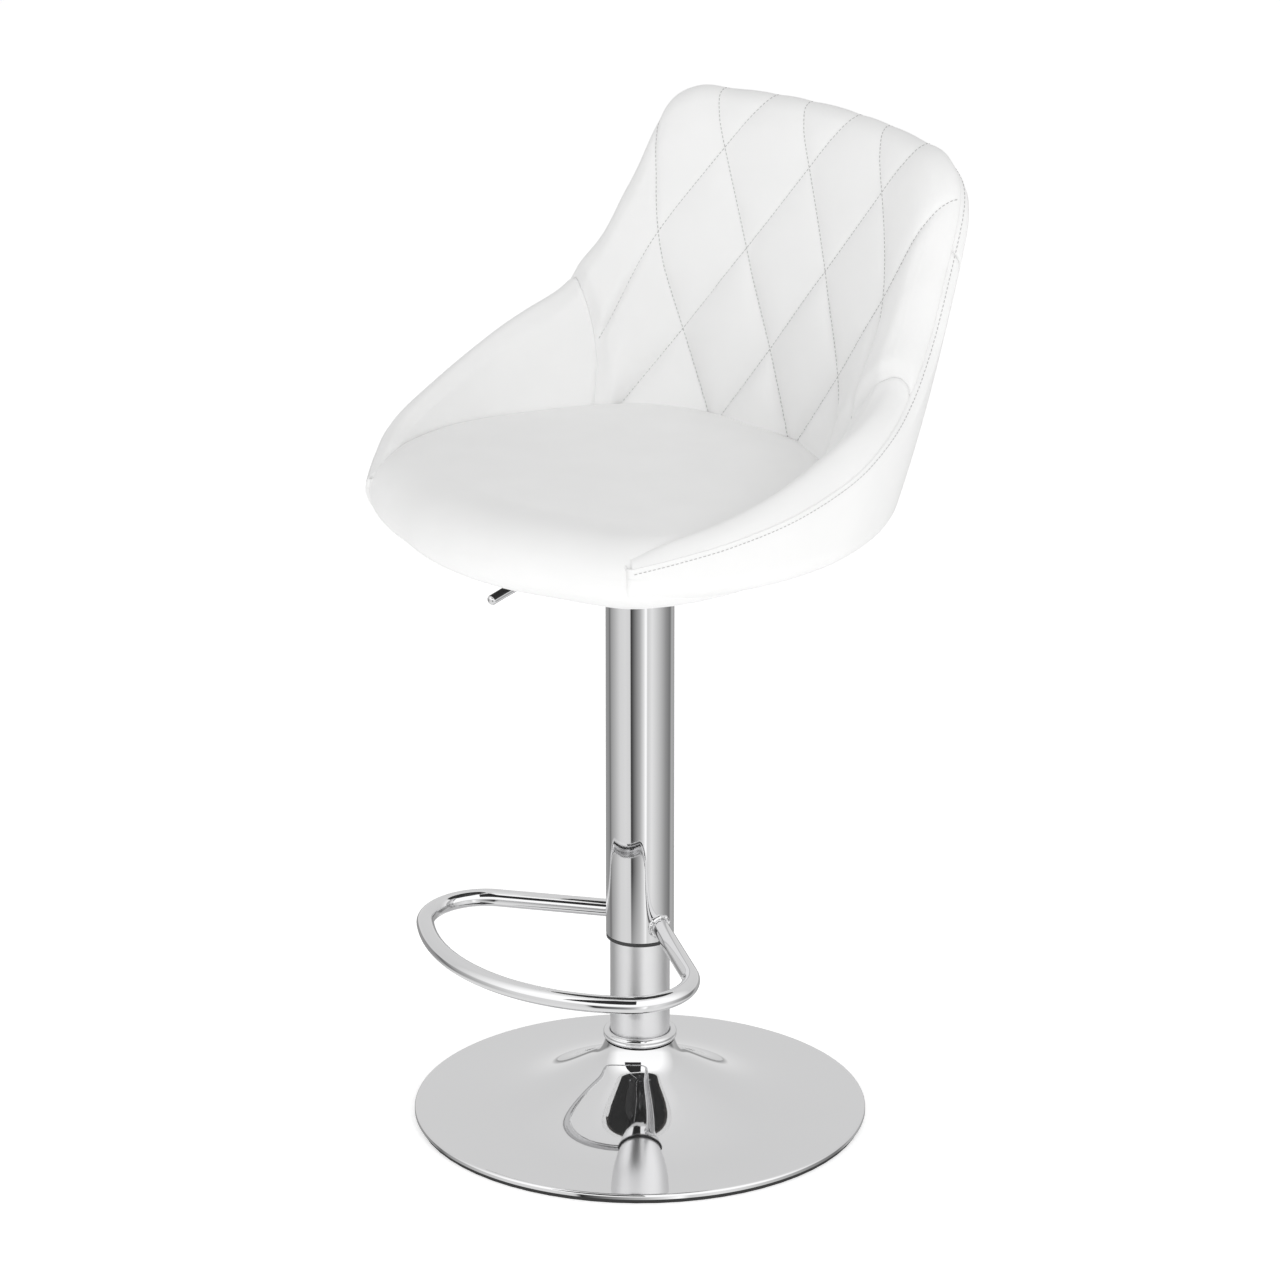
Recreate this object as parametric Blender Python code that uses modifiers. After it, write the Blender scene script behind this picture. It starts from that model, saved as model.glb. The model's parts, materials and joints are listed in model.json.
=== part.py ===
"""Adjustable swivel bar stool: chrome disc base and column, gas lift, footrest and a bucket seat.

Metres, +Z up. The origin is on the floor, on the column's axis, and the seat faces -Y.
The stool is modelled at its lowest setting.
"""

import math

import bmesh
import bpy
import numpy as np
from mathutils import Matrix, Vector

# ---- Driving dimensions -------------------------------------------------------------------

GAP = 0.0003  # left between faces that touch

# Base
BASE_RADIUS = 0.1925
FLOOR_PAD_RADIUS = 0.1900
FLOOR_PAD_TOP = 0.0040
BALLAST_RADIUS = 0.1740
BALLAST_TOP = 0.0070
RIM_TOP = 0.0085  # height that the flared cover levels out at
NECK_RADIUS = 0.0295
HILL_HEIGHT = 0.0525  # the cover's broad swell, at the middle
HILL_REACH = 0.0800
FILLET_HEIGHT = 0.0142  # the steep last rise against the column
FILLET_REACH = 0.0037
COVER_SHEET = 0.0015
COLLAR_CENTRE_RADIUS = 0.0278
COLLAR_HEIGHT = 0.0735

# Column
LOWER_TUBE_RADIUS = 0.0253
LOWER_TUBE_WALL = 0.0015
LOWER_TUBE_TOP = 0.4050
UPPER_TUBE_RADIUS = 0.0288
UPPER_TUBE_WALL = 0.0015
UPPER_TUBE_BOTTOM = 0.1660
UPPER_TUBE_TOP = 0.4930
FLANGE_RADIUS = 0.0480
FLANGE_THICKNESS = 0.0040
FLANGE_BOLT_CIRCLE = 0.0385
FOOT_PLATE_BOTTOM = 0.0190

# Gas lift
CYLINDER_RADIUS = 0.0140
CYLINDER_BORE = 0.0125
CYLINDER_BOTTOM = 0.0750
TAPER_START = 0.4620
CYLINDER_TOP = 0.5000
TAPER_TIP_RADIUS = 0.0130
ROD_RADIUS = 0.0060
ROD_STUB_RADIUS = 0.0050
ROD_BOTTOM = 0.0120
ROD_TOP = 0.3120
PIN_RADIUS = 0.0030

# Footrest
FOOTREST_TUBE_RADIUS = 0.0075
FOOTREST_ARM_START = (0.0200, 0.0005)
FOOTREST_ARM_DIRECTION = (0.864, -0.503)
FOOTREST_FRONT_CENTRE_Y = 0.0180
FOOTREST_FRONT_RADIUS = 0.1954
FOOTREST_BEND_RADIUS = 0.0475
FOOTREST_HEIGHT = 0.1801
FOOTREST_DROOP = 0.038  # metres of drop for each metre forward

# Seat mechanism
SEAT_UNDERSIDE = 0.5262
PLATE_HALF = 0.0750
PLATE_THICKNESS = 0.0028
PLATE_BOLT_REACH = 0.0600
HOUSING_FLOOR = 0.4955
HOUSING_WALL = 0.0030
HOUSING_HALF_WIDTH = 0.0270
HOUSING_LENGTH = 0.0900
LEVER_PIVOT = Vector((0.0, -0.0340, 0.5100))
LEVER_RADIUS = 0.0043

# Bucket seat
BOARD_BOTTOM = SEAT_UNDERSIDE + 0.0011
BOARD_THICKNESS = 0.0120
BOARD_TOP_INSET = 0.0135  # from the seat's outline to the board's top edge
BOARD_FOOT_INSET = 0.0370  # to its bottom edge, chamfered so that the upholstery rounds under
LINING_INSET = 0.0390
CUSHION_TOP = 0.5910
COVER_THICKNESS = 0.0080
CORE_THICKNESS = 0.0060
PAD_THICKNESS = 0.0170
PAD_SWELL = 0.0110  # extra thickness at the foot of the back pad
LAYER_GAP = 0.0013
HEM_HEIGHT = 0.5290  # lower edge of the outer covers

# Right half of the bucket's outer surface, from the middle of the back round to the front
# corner: where each column leaves the hem (x, y), and where it meets the rim (x, y, z).
BUCKET_COLUMNS = (
    ((0.000, 0.171), (0.000, 0.243, 0.842)),
    ((0.050, 0.169), (0.055, 0.241, 0.841)),
    ((0.098, 0.161), (0.105, 0.234, 0.838)),
    ((0.134, 0.147), (0.150, 0.222, 0.834)),
    ((0.156, 0.130), (0.179, 0.206, 0.808)),
    ((0.170, 0.114), (0.193, 0.172, 0.744)),
    ((0.180, 0.097), (0.202, 0.144, 0.698)),
    ((0.189, 0.078), (0.214, 0.108, 0.663)),
    ((0.199, 0.048), (0.224, 0.066, 0.641)),
    ((0.206, 0.014), (0.228, 0.020, 0.621)),
    ((0.205, -0.036), (0.222, -0.039, 0.603)),
    ((0.192, -0.090), (0.206, -0.094, 0.590)),
    ((0.171, -0.131), (0.181, -0.134, 0.579)),
    ((0.152, -0.157), (0.159, -0.162, 0.571)),
)
NOSE_OUTLINE = ((0.100, -0.187), (0.052, -0.204), (0.000, -0.210))
BACK_PAD_COLUMN = 6.0  # column where the quilted panel meets the wings

# ---- Scene, collections and materials -----------------------------------------------------

for leftover in list(bpy.data.objects):
    bpy.data.objects.remove(leftover, do_unlink=True)

PARTS = bpy.data.collections.new("swivel_stool")
CUTTERS = bpy.data.collections.new("cutters")
bpy.context.scene.collection.children.link(PARTS)
bpy.context.scene.collection.children.link(CUTTERS)


def material(name, colour, roughness, metallic=0.0):
    """A Principled material with the given base colour."""
    made = bpy.data.materials.new(name)
    made.use_nodes = True
    shader = made.node_tree.nodes["Principled BSDF"]
    shader.inputs["Base Color"].default_value = (*colour, 1.0)
    shader.inputs["Roughness"].default_value = roughness
    shader.inputs["Metallic"].default_value = metallic
    return made


CHROME = material("chrome", (0.80, 0.80, 0.82), 0.06, 1.0)
STEEL = material("steel", (0.45, 0.46, 0.48), 0.40, 1.0)
BLACK_STEEL = material("black_steel", (0.03, 0.03, 0.03), 0.45, 0.6)
RUBBER = material("rubber", (0.02, 0.02, 0.02), 0.80)
NYLON = material("nylon", (0.05, 0.05, 0.05), 0.50)
PLYWOOD = material("plywood", (0.60, 0.43, 0.26), 0.65)
LEATHER = material("leather", (0.90, 0.90, 0.89), 0.45)
LINING = material("lining", (0.02, 0.02, 0.02), 0.95)


# ---- Modelling helpers --------------------------------------------------------------------


def add_object(name, data, look=None, collection=PARTS):
    """Puts a mesh or curve in the scene under the given name."""
    made = bpy.data.objects.new(name, data)
    collection.objects.link(made)
    if look:
        data.materials.append(look)
    return made


def smooth(thing, angle=35):
    """Shades a mesh smooth, keeping edges sharper than the angle (degrees)."""
    thing.data.shade_smooth()
    thing.data.set_sharp_from_angle(angle=math.radians(angle))


def turned(name, profile, look, steps=32, centre=(0.0, 0.0), collection=PARTS):
    """Turns a profile of (radius, z) points about a vertical axis.

    The profile starts at the top and runs down its outer side. A profile that touches the
    axis at both ends is left open, and any other is closed into a ring.
    """
    mesh = bpy.data.meshes.new(name)
    shape = bmesh.new()
    corners = [shape.verts.new((radius, 0.0, z)) for radius, z in profile]
    for first, second in zip(corners, corners[1:]):
        shape.edges.new((first, second))
    on_axis = profile[0][0] == 0.0 and profile[-1][0] == 0.0
    if not on_axis:
        shape.edges.new((corners[-1], corners[0]))
    shape.to_mesh(mesh)
    shape.free()
    made = add_object(name, mesh, look, collection)
    made.location = (*centre, 0.0)
    screw = made.modifiers.new("turn", "SCREW")
    screw.steps = screw.render_steps = steps
    screw.use_merge_vertices = bool(on_axis)
    screw.merge_threshold = 0.00001
    screw.use_smooth_shade = True
    return made


def ring(name, inner, outer, bottom, top, look, steps=32, centre=(0.0, 0.0)):
    """A plain ring with square edges."""
    profile = [(inner, top), (outer, top), (outer, bottom), (inner, bottom)]
    return turned(name, profile, look, steps, centre)


def disc(name, radius, bottom, top, look, steps=32, centre=(0.0, 0.0), collection=PARTS):
    """A solid round plate or pin with a vertical axis."""
    profile = [(0.0, top), (radius, top), (radius, bottom), (0.0, bottom)]
    return turned(name, profile, look, steps, centre, collection)


def box(name, low, high, look=None, collection=PARTS):
    """A box between two opposite corners."""
    low, high = Vector(low), Vector(high)
    mesh = bpy.data.meshes.new(name)
    shape = bmesh.new()
    bmesh.ops.create_cube(shape, size=1.0)
    bmesh.ops.scale(shape, vec=high - low, verts=shape.verts)
    shape.to_mesh(mesh)
    shape.free()
    made = add_object(name, mesh, look, collection)
    made.location = (low + high) / 2
    return made


def crossbar(name, radius, centre, half_length, look=None, collection=PARTS, sides=24):
    """A round bar along X."""
    mesh = bpy.data.meshes.new(name)
    shape = bmesh.new()
    bmesh.ops.create_cone(
        shape, cap_ends=True, segments=sides, radius1=radius, radius2=radius,
        depth=2 * half_length, matrix=Matrix.Rotation(math.pi / 2, 4, "Y"),
    )
    shape.to_mesh(mesh)
    shape.free()
    made = add_object(name, mesh, look, collection)
    made.location = centre
    return made


def as_mesh(thing):
    """Replaces a curve object with a closed mesh object of the same name and place."""
    graph = bpy.context.evaluated_depsgraph_get()
    mesh = bpy.data.meshes.new_from_object(thing.evaluated_get(graph))
    shape = bmesh.new()
    shape.from_mesh(mesh)
    bmesh.ops.remove_doubles(shape, verts=shape.verts, dist=0.000002)
    bmesh.ops.recalc_face_normals(shape, faces=shape.faces)
    shape.to_mesh(mesh)
    shape.free()
    name, place, home = thing.name, thing.matrix_world.copy(), thing.users_collection[0]
    bpy.data.objects.remove(thing, do_unlink=True)
    made = bpy.data.objects.new(name, mesh)
    home.objects.link(made)
    made.matrix_world = place
    return made


def bent_rod(name, points, radius, look, resolution=3, sides=3, cyclic=False):
    """A round rod or tube along a path, as a mesh with filled ends."""
    curve = bpy.data.curves.new(name, "CURVE")
    curve.dimensions = "3D"
    curve.bevel_depth = radius
    curve.bevel_resolution = sides
    curve.use_fill_caps = True
    curve.resolution_u = resolution
    spline = curve.splines.new("POLY")
    spline.points.add(len(points) - 1)
    for knot, point in zip(spline.points, points):
        knot.co = (*point, 1.0)
    spline.use_cyclic_u = cyclic
    made = as_mesh(add_object(name, curve, look))
    smooth(made, 50)
    return made


def flat_shape(name, outline, bottom, top, look=None, collection=PARTS, rounding=0.0):
    """A flat plate with the given plan outline, and optionally rounded edges."""
    curve = bpy.data.curves.new(name, "CURVE")
    curve.dimensions = "2D"
    curve.fill_mode = "BOTH"
    curve.extrude = (top - bottom) / 2 - rounding
    curve.bevel_depth = rounding
    curve.bevel_resolution = 1
    curve.offset = -rounding
    spline = curve.splines.new("POLY")
    spline.points.add(len(outline) - 1)
    for knot, (x, y) in zip(spline.points, outline):
        knot.co = (x, y, 0.0, 1.0)
    spline.use_cyclic_u = True
    made = add_object(name, curve, look, collection)
    made.location.z = (top + bottom) / 2
    made = as_mesh(made)
    return made


def chamfered_plate(name, low_outline, high_outline, bottom, top, look=None, collection=PARTS):
    """A flat plate whose sides slope between a bottom outline and a top outline."""
    mesh = bpy.data.meshes.new(name)
    shape = bmesh.new()
    low = [shape.verts.new((x, y, bottom)) for x, y in low_outline]
    high = [shape.verts.new((x, y, top)) for x, y in high_outline]
    shape.faces.new(low)
    shape.faces.new(high)
    for index in range(len(low)):
        before = index - 1
        shape.faces.new((low[before], low[index], high[index], high[before]))
    bmesh.ops.recalc_face_normals(shape, faces=shape.faces)
    shape.to_mesh(mesh)
    shape.free()
    return add_object(name, mesh, look, collection)


def cutter(thing):
    """Marks an object as a cutter that the model itself doesn't show."""
    thing.hide_render = True
    thing.display_type = "WIRE"
    return thing


def cut(thing, tool):
    """Takes the tool's shape away from the thing."""
    step = thing.modifiers.new("cut " + tool.name, "BOOLEAN")
    step.operation = "DIFFERENCE"
    step.object = tool


def join(thing, other):
    """Adds another object's shape to the thing, as one body."""
    step = thing.modifiers.new("join " + other.name, "BOOLEAN")
    step.operation = "UNION"
    step.object = other
    cutter(other)


def drill(name, radius, bottom, top, centre, things):
    """Drills one vertical hole through each of the things."""
    tool = cutter(disc(name, radius, bottom, top, None, 24, centre, CUTTERS))
    for thing in things:
        cut(thing, tool)


def spline_through(points, count):
    """Points spaced evenly by index along a Catmull-Rom curve through the given ones."""
    points = np.asarray(points, float)
    padded = np.vstack([2 * points[0] - points[1], points, 2 * points[-1] - points[-2]])
    found = []
    for place in np.linspace(0.0, len(points) - 1.0, count):
        index = min(int(place), len(points) - 2)
        t = place - index
        p0, p1, p2, p3 = padded[index : index + 4]
        bend = 2 * p0 - 5 * p1 + 4 * p2 - p3
        twist = 3 * p1 - p0 - 3 * p2 + p3
        found.append(0.5 * (2 * p1 + (p2 - p0) * t + bend * t**2 + twist * t**3))
    return np.array(found)


# ---- Base: what stands on the floor ---------------------------------------------------------


def build_base():
    """Floor pad, ballast, flared chrome cover, flange and the collar round the column."""
    disc("floor_pad", FLOOR_PAD_RADIUS, 0.0, FLOOR_PAD_TOP, RUBBER, 64)
    ballast_bottom = FLOOR_PAD_TOP + GAP
    ballast = disc("ballast_plate", BALLAST_RADIUS, ballast_bottom, BALLAST_TOP, STEEL, 48)

    def cover_height(radius):
        hill = HILL_HEIGHT * np.exp(-((radius / HILL_REACH) ** 2))
        return RIM_TOP + hill + FILLET_HEIGHT * np.exp((NECK_RADIUS - radius) / FILLET_REACH)

    run = BASE_RADIUS - 0.0045 - NECK_RADIUS
    stations = NECK_RADIUS + run * np.linspace(0.0, 1.0, 12) ** 2.2
    outer = [(radius, cover_height(radius)) for radius in stations]
    lip = [(BASE_RADIUS - 0.0012, RIM_TOP - 0.0008), (BASE_RADIUS, RIM_TOP - 0.0024)]
    hem = FLOOR_PAD_TOP + GAP
    inner_radius = BASE_RADIUS - COVER_SHEET
    inside = [(inner_radius, hem), (inner_radius, RIM_TOP - 0.0030)]
    inner = [(radius, height - COVER_SHEET) for radius, height in outer[::-1]]
    neck = inner.pop()
    inner.append((neck[0] - COVER_SHEET, neck[1]))
    turned("base_cover", outer + lip + [(BASE_RADIUS, hem)] + inside + inner, CHROME, 64)

    flange_bottom = BALLAST_TOP + GAP
    flange_top = flange_bottom + FLANGE_THICKNESS
    flange = disc("tube_flange", FLANGE_RADIUS, flange_bottom, flange_top, BLACK_STEEL)
    for index in range(3):
        angle = math.radians(90 + 120 * index)
        centre = (FLANGE_BOLT_CIRCLE * math.cos(angle), FLANGE_BOLT_CIRCLE * math.sin(angle))
        head_bottom = flange_top + GAP
        shank_bottom = ballast_bottom + 0.0006
        profile = [
            (0.0, head_bottom + 0.0035), (0.0045, head_bottom + 0.0035),
            (0.0045, head_bottom), (0.0024, head_bottom),
            (0.0024, shank_bottom), (0.0, shank_bottom),
        ]
        turned(f"flange_bolt_{index + 1}", profile, STEEL, 24, centre)
        name = f"flange_hole_{index + 1}"
        drill(name, 0.0028, 0.0, flange_top + 0.004, centre, (flange, ballast))

    # A moulded ring of two rounds with a groove between them.
    collar = []
    for step in range(12):
        angle = math.radians(105 - 30 * step)
        reach = 0.0028 if step == 3 else 0.0036
        radius = max(COLLAR_CENTRE_RADIUS + reach * math.cos(angle), LOWER_TUBE_RADIUS + GAP)
        collar.append((radius, COLLAR_HEIGHT + 0.0042 * math.sin(angle)))
    turned("collar_ring", collar, CHROME, 48)
    return flange_top


# ---- Column: lower tube and the parts fixed in it ------------------------------------------


def build_lower_column(flange_top):
    """Fixed tube, its foot plate, the lower bearing washer and the guide sleeve."""
    inside = LOWER_TUBE_RADIUS - LOWER_TUBE_WALL
    ring("lower_tube", inside, LOWER_TUBE_RADIUS, flange_top + GAP, LOWER_TUBE_TOP, CHROME, 48)
    plate_top = FOOT_PLATE_BOTTOM + 0.0040
    ring("tube_foot_plate", 0.0056, inside - GAP, FOOT_PLATE_BOTTOM, plate_top, STEEL)
    washer_bottom = plate_top + GAP
    ring("lower_bearing_washer", 0.0068, 0.0160, washer_bottom, washer_bottom + 0.002, STEEL)
    sleeve_bottom = LOWER_TUBE_TOP - 0.0550
    sleeve_top = LOWER_TUBE_TOP + 0.0025
    bore = CYLINDER_RADIUS + GAP
    profile = [
        (bore, sleeve_top), (LOWER_TUBE_RADIUS - 0.0004, sleeve_top),
        (LOWER_TUBE_RADIUS - 0.0004, LOWER_TUBE_TOP + GAP),
        (inside - GAP, LOWER_TUBE_TOP + GAP), (inside - GAP, sleeve_bottom),
        (bore, sleeve_bottom),
    ]
    turned("guide_sleeve", profile, NYLON)
    return washer_bottom + 0.002


# ---- Gas lift: the rod that turns in the column, and the cylinder that rides on it ----------


def build_rod(washer_top):
    """Piston rod with its piston, upper washer, retaining clip and bump stop."""
    washer_bottom = washer_top + GAP
    shoulder = washer_bottom + 0.0020 + GAP
    profile = [
        (0.0, ROD_TOP), (ROD_RADIUS, ROD_TOP), (ROD_RADIUS, shoulder),
        (ROD_STUB_RADIUS, shoulder), (ROD_STUB_RADIUS, ROD_BOTTOM), (0.0, ROD_BOTTOM),
    ]
    turned("piston_rod", profile, CHROME, 32)
    bore = ROD_STUB_RADIUS + GAP
    ring("upper_bearing_washer", bore, 0.0160, washer_bottom, washer_bottom + 0.002, STEEL)
    clip_top = FOOT_PLATE_BOTTOM - GAP
    ring("retaining_clip", bore, 0.0085, clip_top - 0.0015, clip_top, STEEL, 32)
    stop_inside = ROD_RADIUS + GAP
    ring("bump_stop", stop_inside, 0.0125, shoulder + 0.001, shoulder + 0.013, RUBBER, 32)
    ring("piston", stop_inside, CYLINDER_BORE - GAP, ROD_TOP - 0.012, ROD_TOP, NYLON, 32)


def build_cylinder():
    """Gas cylinder with a tapered head, its lower gland and the release pin on top."""
    pin_bore = PIN_RADIUS + 2 * GAP
    head = TAPER_START - 0.0070
    profile = [
        (pin_bore, CYLINDER_TOP), (TAPER_TIP_RADIUS, CYLINDER_TOP),
        (CYLINDER_RADIUS, TAPER_START), (CYLINDER_RADIUS, CYLINDER_BOTTOM),
        (CYLINDER_BORE, CYLINDER_BOTTOM), (CYLINDER_BORE, head), (pin_bore, head),
    ]
    turned("gas_cylinder", profile, BLACK_STEEL)
    gland_bottom = CYLINDER_BOTTOM + 0.0005
    outer = CYLINDER_BORE - GAP
    ring("cylinder_gland", ROD_RADIUS + GAP, outer, gland_bottom, gland_bottom + 0.012, NYLON)
    pin_top = LEVER_PIVOT.z - LEVER_RADIUS - GAP
    disc("release_pin", PIN_RADIUS, head + 0.010, pin_top, STEEL, 24)


# ---- Outer column: what goes up and down with the seat ---------------------------------------


def footrest_path():
    """Centre line of the footrest: straight arm, bend, wide front arc, and back again.

    The bend is the circle of the given radius that touches the arm's line and the front
    arc from inside. Its centre lies at the arc's radius less the bend's from the arc's
    centre, which gives a quadratic in the distance along the arm.
    """
    start = Vector(FOOTREST_ARM_START)
    along = Vector(FOOTREST_ARM_DIRECTION).normalized()
    inward = Vector((along.y, -along.x))
    middle = Vector((0.0, FOOTREST_FRONT_CENTRE_Y))
    offset = start + inward * FOOTREST_BEND_RADIUS - middle
    reach = FOOTREST_FRONT_RADIUS - FOOTREST_BEND_RADIUS
    half = offset.dot(along)
    travel = -half + math.sqrt(half**2 - offset.length_squared + reach**2)
    bend_centre = middle + offset + along * travel
    outward = (bend_centre - middle).normalized()
    first = math.atan2(-inward.y, -inward.x)
    last = math.atan2(outward.y, outward.x)
    right = [start, start + along * travel * 0.5]
    for angle in np.linspace(first, last, 8):
        turn = Vector((math.cos(angle), math.sin(angle)))
        right.append(bend_centre + turn * FOOTREST_BEND_RADIUS)
    for angle in np.linspace(last, -math.pi / 2, 12)[1:]:
        turn = Vector((math.cos(angle), math.sin(angle)))
        right.append(middle + turn * FOOTREST_FRONT_RADIUS)
    left = [Vector((-point.x, point.y)) for point in right[-2::-1]]
    return [(p.x, p.y, FOOTREST_HEIGHT + FOOTREST_DROOP * p.y) for p in right + left]


def build_outer_column():
    """Sliding tube, its top ring and cap, the guide bush, and the footrest with its collars."""
    inside = UPPER_TUBE_RADIUS - UPPER_TUBE_WALL
    ring("upper_tube", inside, UPPER_TUBE_RADIUS, UPPER_TUBE_BOTTOM, UPPER_TUBE_TOP, CHROME, 48)
    ring("tube_top_plate", 0.0203, inside - GAP, UPPER_TUBE_TOP - 0.009, UPPER_TUBE_TOP - 0.003, STEEL)
    cap_bottom = UPPER_TUBE_TOP + GAP
    ring("tube_cap", 0.0210, UPPER_TUBE_RADIUS + 0.001, cap_bottom, HOUSING_FLOOR - GAP, NYLON)
    bore = LOWER_TUBE_RADIUS + GAP
    lip_top = UPPER_TUBE_BOTTOM - GAP
    bush_top = UPPER_TUBE_BOTTOM + 0.0200
    profile = [
        (bore, bush_top), (inside - GAP, bush_top), (inside - GAP, lip_top),
        (UPPER_TUBE_RADIUS - 0.0002, lip_top), (UPPER_TUBE_RADIUS - 0.0002, lip_top - 0.0028),
        (bore, lip_top - 0.0028),
    ]
    turned("guide_bush", profile, NYLON, 48)

    saddle_radius = UPPER_TUBE_RADIUS + GAP
    saddle = cutter(disc("tube_saddle", saddle_radius, 0.12, 0.24, None, 48, collection=CUTTERS))
    path = footrest_path()
    footrest = bent_rod("footrest", path, FOOTREST_TUBE_RADIUS, CHROME)
    cut(footrest, saddle)
    bore_line = cutter(bent_rod("arm_bore", path, FOOTREST_TUBE_RADIUS + GAP, CHROME))
    PARTS.objects.unlink(bore_line)
    CUTTERS.objects.link(bore_line)
    start = Vector(path[0])
    along = (Vector(path[1]) - start).normalized()
    for name, side in (("footrest_collar_right", 1.0), ("footrest_collar_left", -1.0)):
        ends = [start + along * reach for reach in (0.0, 0.0190)]
        points = [(side * point.x, point.y, point.z) for point in ends]
        collar = bent_rod(name, points, 0.0098, CHROME)
        cut(collar, saddle)
        cut(collar, bore_line)


# ---- Seat mechanism ------------------------------------------------------------------------


def build_mechanism():
    """Plate under the seat, its channel and taper socket, and the bolts into the board."""
    plate_top = SEAT_UNDERSIDE - GAP
    plate_bottom = plate_top - PLATE_THICKNESS
    low = (-PLATE_HALF, -PLATE_HALF, plate_bottom)
    plate = box("seat_plate", low, (PLATE_HALF, PLATE_HALF, plate_top), BLACK_STEEL)
    corners = plate.modifiers.new("corners", "BEVEL")
    corners.width = 0.0012
    corners.segments = 1

    half_length = HOUSING_LENGTH / 2
    housing_top = plate_bottom - GAP
    low = (-HOUSING_HALF_WIDTH, -half_length, HOUSING_FLOOR)
    high = (HOUSING_HALF_WIDTH, half_length, housing_top)
    housing = box("mechanism_housing", low, high, BLACK_STEEL)
    inner = HOUSING_HALF_WIDTH - HOUSING_WALL
    low = (-inner, -half_length - 0.01, HOUSING_FLOOR + HOUSING_WALL)
    high = (inner, half_length + 0.01, housing_top + 0.01)
    cut(housing, cutter(box("channel_space", low, high, collection=CUTTERS)))
    hole = CYLINDER_RADIUS + GAP
    drill("cylinder_hole", hole, HOUSING_FLOOR - 0.01, HOUSING_FLOOR + 0.01, (0, 0), (housing,))
    pin_hole = crossbar("pivot_hole", 0.0029, LEVER_PIVOT, 0.05, collection=CUTTERS)
    cut(housing, cutter(pin_hole))
    crossbar("lever_pivot_pin", 0.0025, LEVER_PIVOT, HOUSING_HALF_WIDTH + 0.002, STEEL)
    ring("taper_socket", hole, 0.0200, TAPER_START, HOUSING_FLOOR - GAP, STEEL)

    bolt_places = [(x * PLATE_BOLT_REACH, y * PLATE_BOLT_REACH) for x in (-1, 1) for y in (-1, 1)]
    for index, place in enumerate(bolt_places, 1):
        head_top = plate_bottom - GAP
        tip = BOARD_BOTTOM + BOARD_THICKNESS - 0.002
        profile = [
            (0.0, tip), (0.0030, tip), (0.0030, head_top), (0.0060, head_top),
            (0.0056, head_top - 0.0035), (0.0, head_top - 0.0040),
        ]
        turned(f"plate_bolt_{index}", profile, STEEL, 24, place)
        nut_bottom = BOARD_BOTTOM + 0.0002
        nut_top = BOARD_BOTTOM + BOARD_THICKNESS - 0.0002
        ring(f"threaded_insert_{index}", 0.0033, 0.0047, nut_bottom, nut_top, STEEL, 24, place)
        drill(f"plate_hole_{index}", 0.0034, 0.50, SEAT_UNDERSIDE + 0.0010, place, (plate,))
    return bolt_places


def build_lever():
    """Height lever: a bent rod with a hub that turns on the pivot pin."""
    knots = (
        (0.002, LEVER_PIVOT.z), (-0.034, LEVER_PIVOT.z), (-0.070, 0.5112),
        (-0.105, 0.5129), (-0.132, 0.5130), (-0.150, 0.5102), (-0.168, 0.5064),
    )
    centre_line = spline_through(knots, 19)
    rod = bent_rod("lever_rod", [(0.0, y, z) for y, z in centre_line], LEVER_RADIUS, CHROME)
    join(rod, crossbar("lever_hub", 0.0068, LEVER_PIVOT, 0.0120, CHROME, CUTTERS))
    cut(rod, cutter(crossbar("hub_bore", 0.0029, LEVER_PIVOT, 0.030, collection=CUTTERS)))
    return rod


# ---- Bucket seat ---------------------------------------------------------------------------

BOW = 0.004  # how far the wall bulges outward between hem and rim
ALONG, UP = 37, 6  # columns round the whole bucket, rows from hem to rim


def bucket_grid():
    """Outer surface of the bucket as a grid of points [column, row], and its outward normals.

    Each column is the straight line from the hem to the rim, bowed outward a little in
    the middle by BOW times a parabola.
    """
    half = [(*hem, HEM_HEIGHT, *rim) for hem, rim in BUCKET_COLUMNS]
    right = spline_through(half, ALONG // 2 + 1)
    mirror = np.array([-1, 1, 1, -1, 1, 1])
    columns = np.vstack([right[::-1] * mirror, right[1:]])
    low, high = columns[:, :3], columns[:, 3:]
    rise = np.linspace(0.0, 1.0, UP)[None, :, None]
    grid = low[:, None] * (1 - rise) + high[:, None] * rise
    normals = np.cross(np.gradient(grid, axis=1), np.gradient(grid, axis=0))
    normals /= np.linalg.norm(normals, axis=2, keepdims=True)
    middle = grid.mean(axis=(0, 1))
    if ((grid - middle) * normals).sum() < 0:
        normals = -normals
    return grid + normals * BOW * 4 * rise * (1 - rise), normals


def between(values, places):
    """Rows of an array read at fractional positions along its first axis."""
    low = np.clip(np.floor(places).astype(int), 0, len(values) - 2)
    share = (places - low).reshape(-1, *[1] * (values.ndim - 1))
    return values[low] * (1 - share) + values[low + 1] * share


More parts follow.
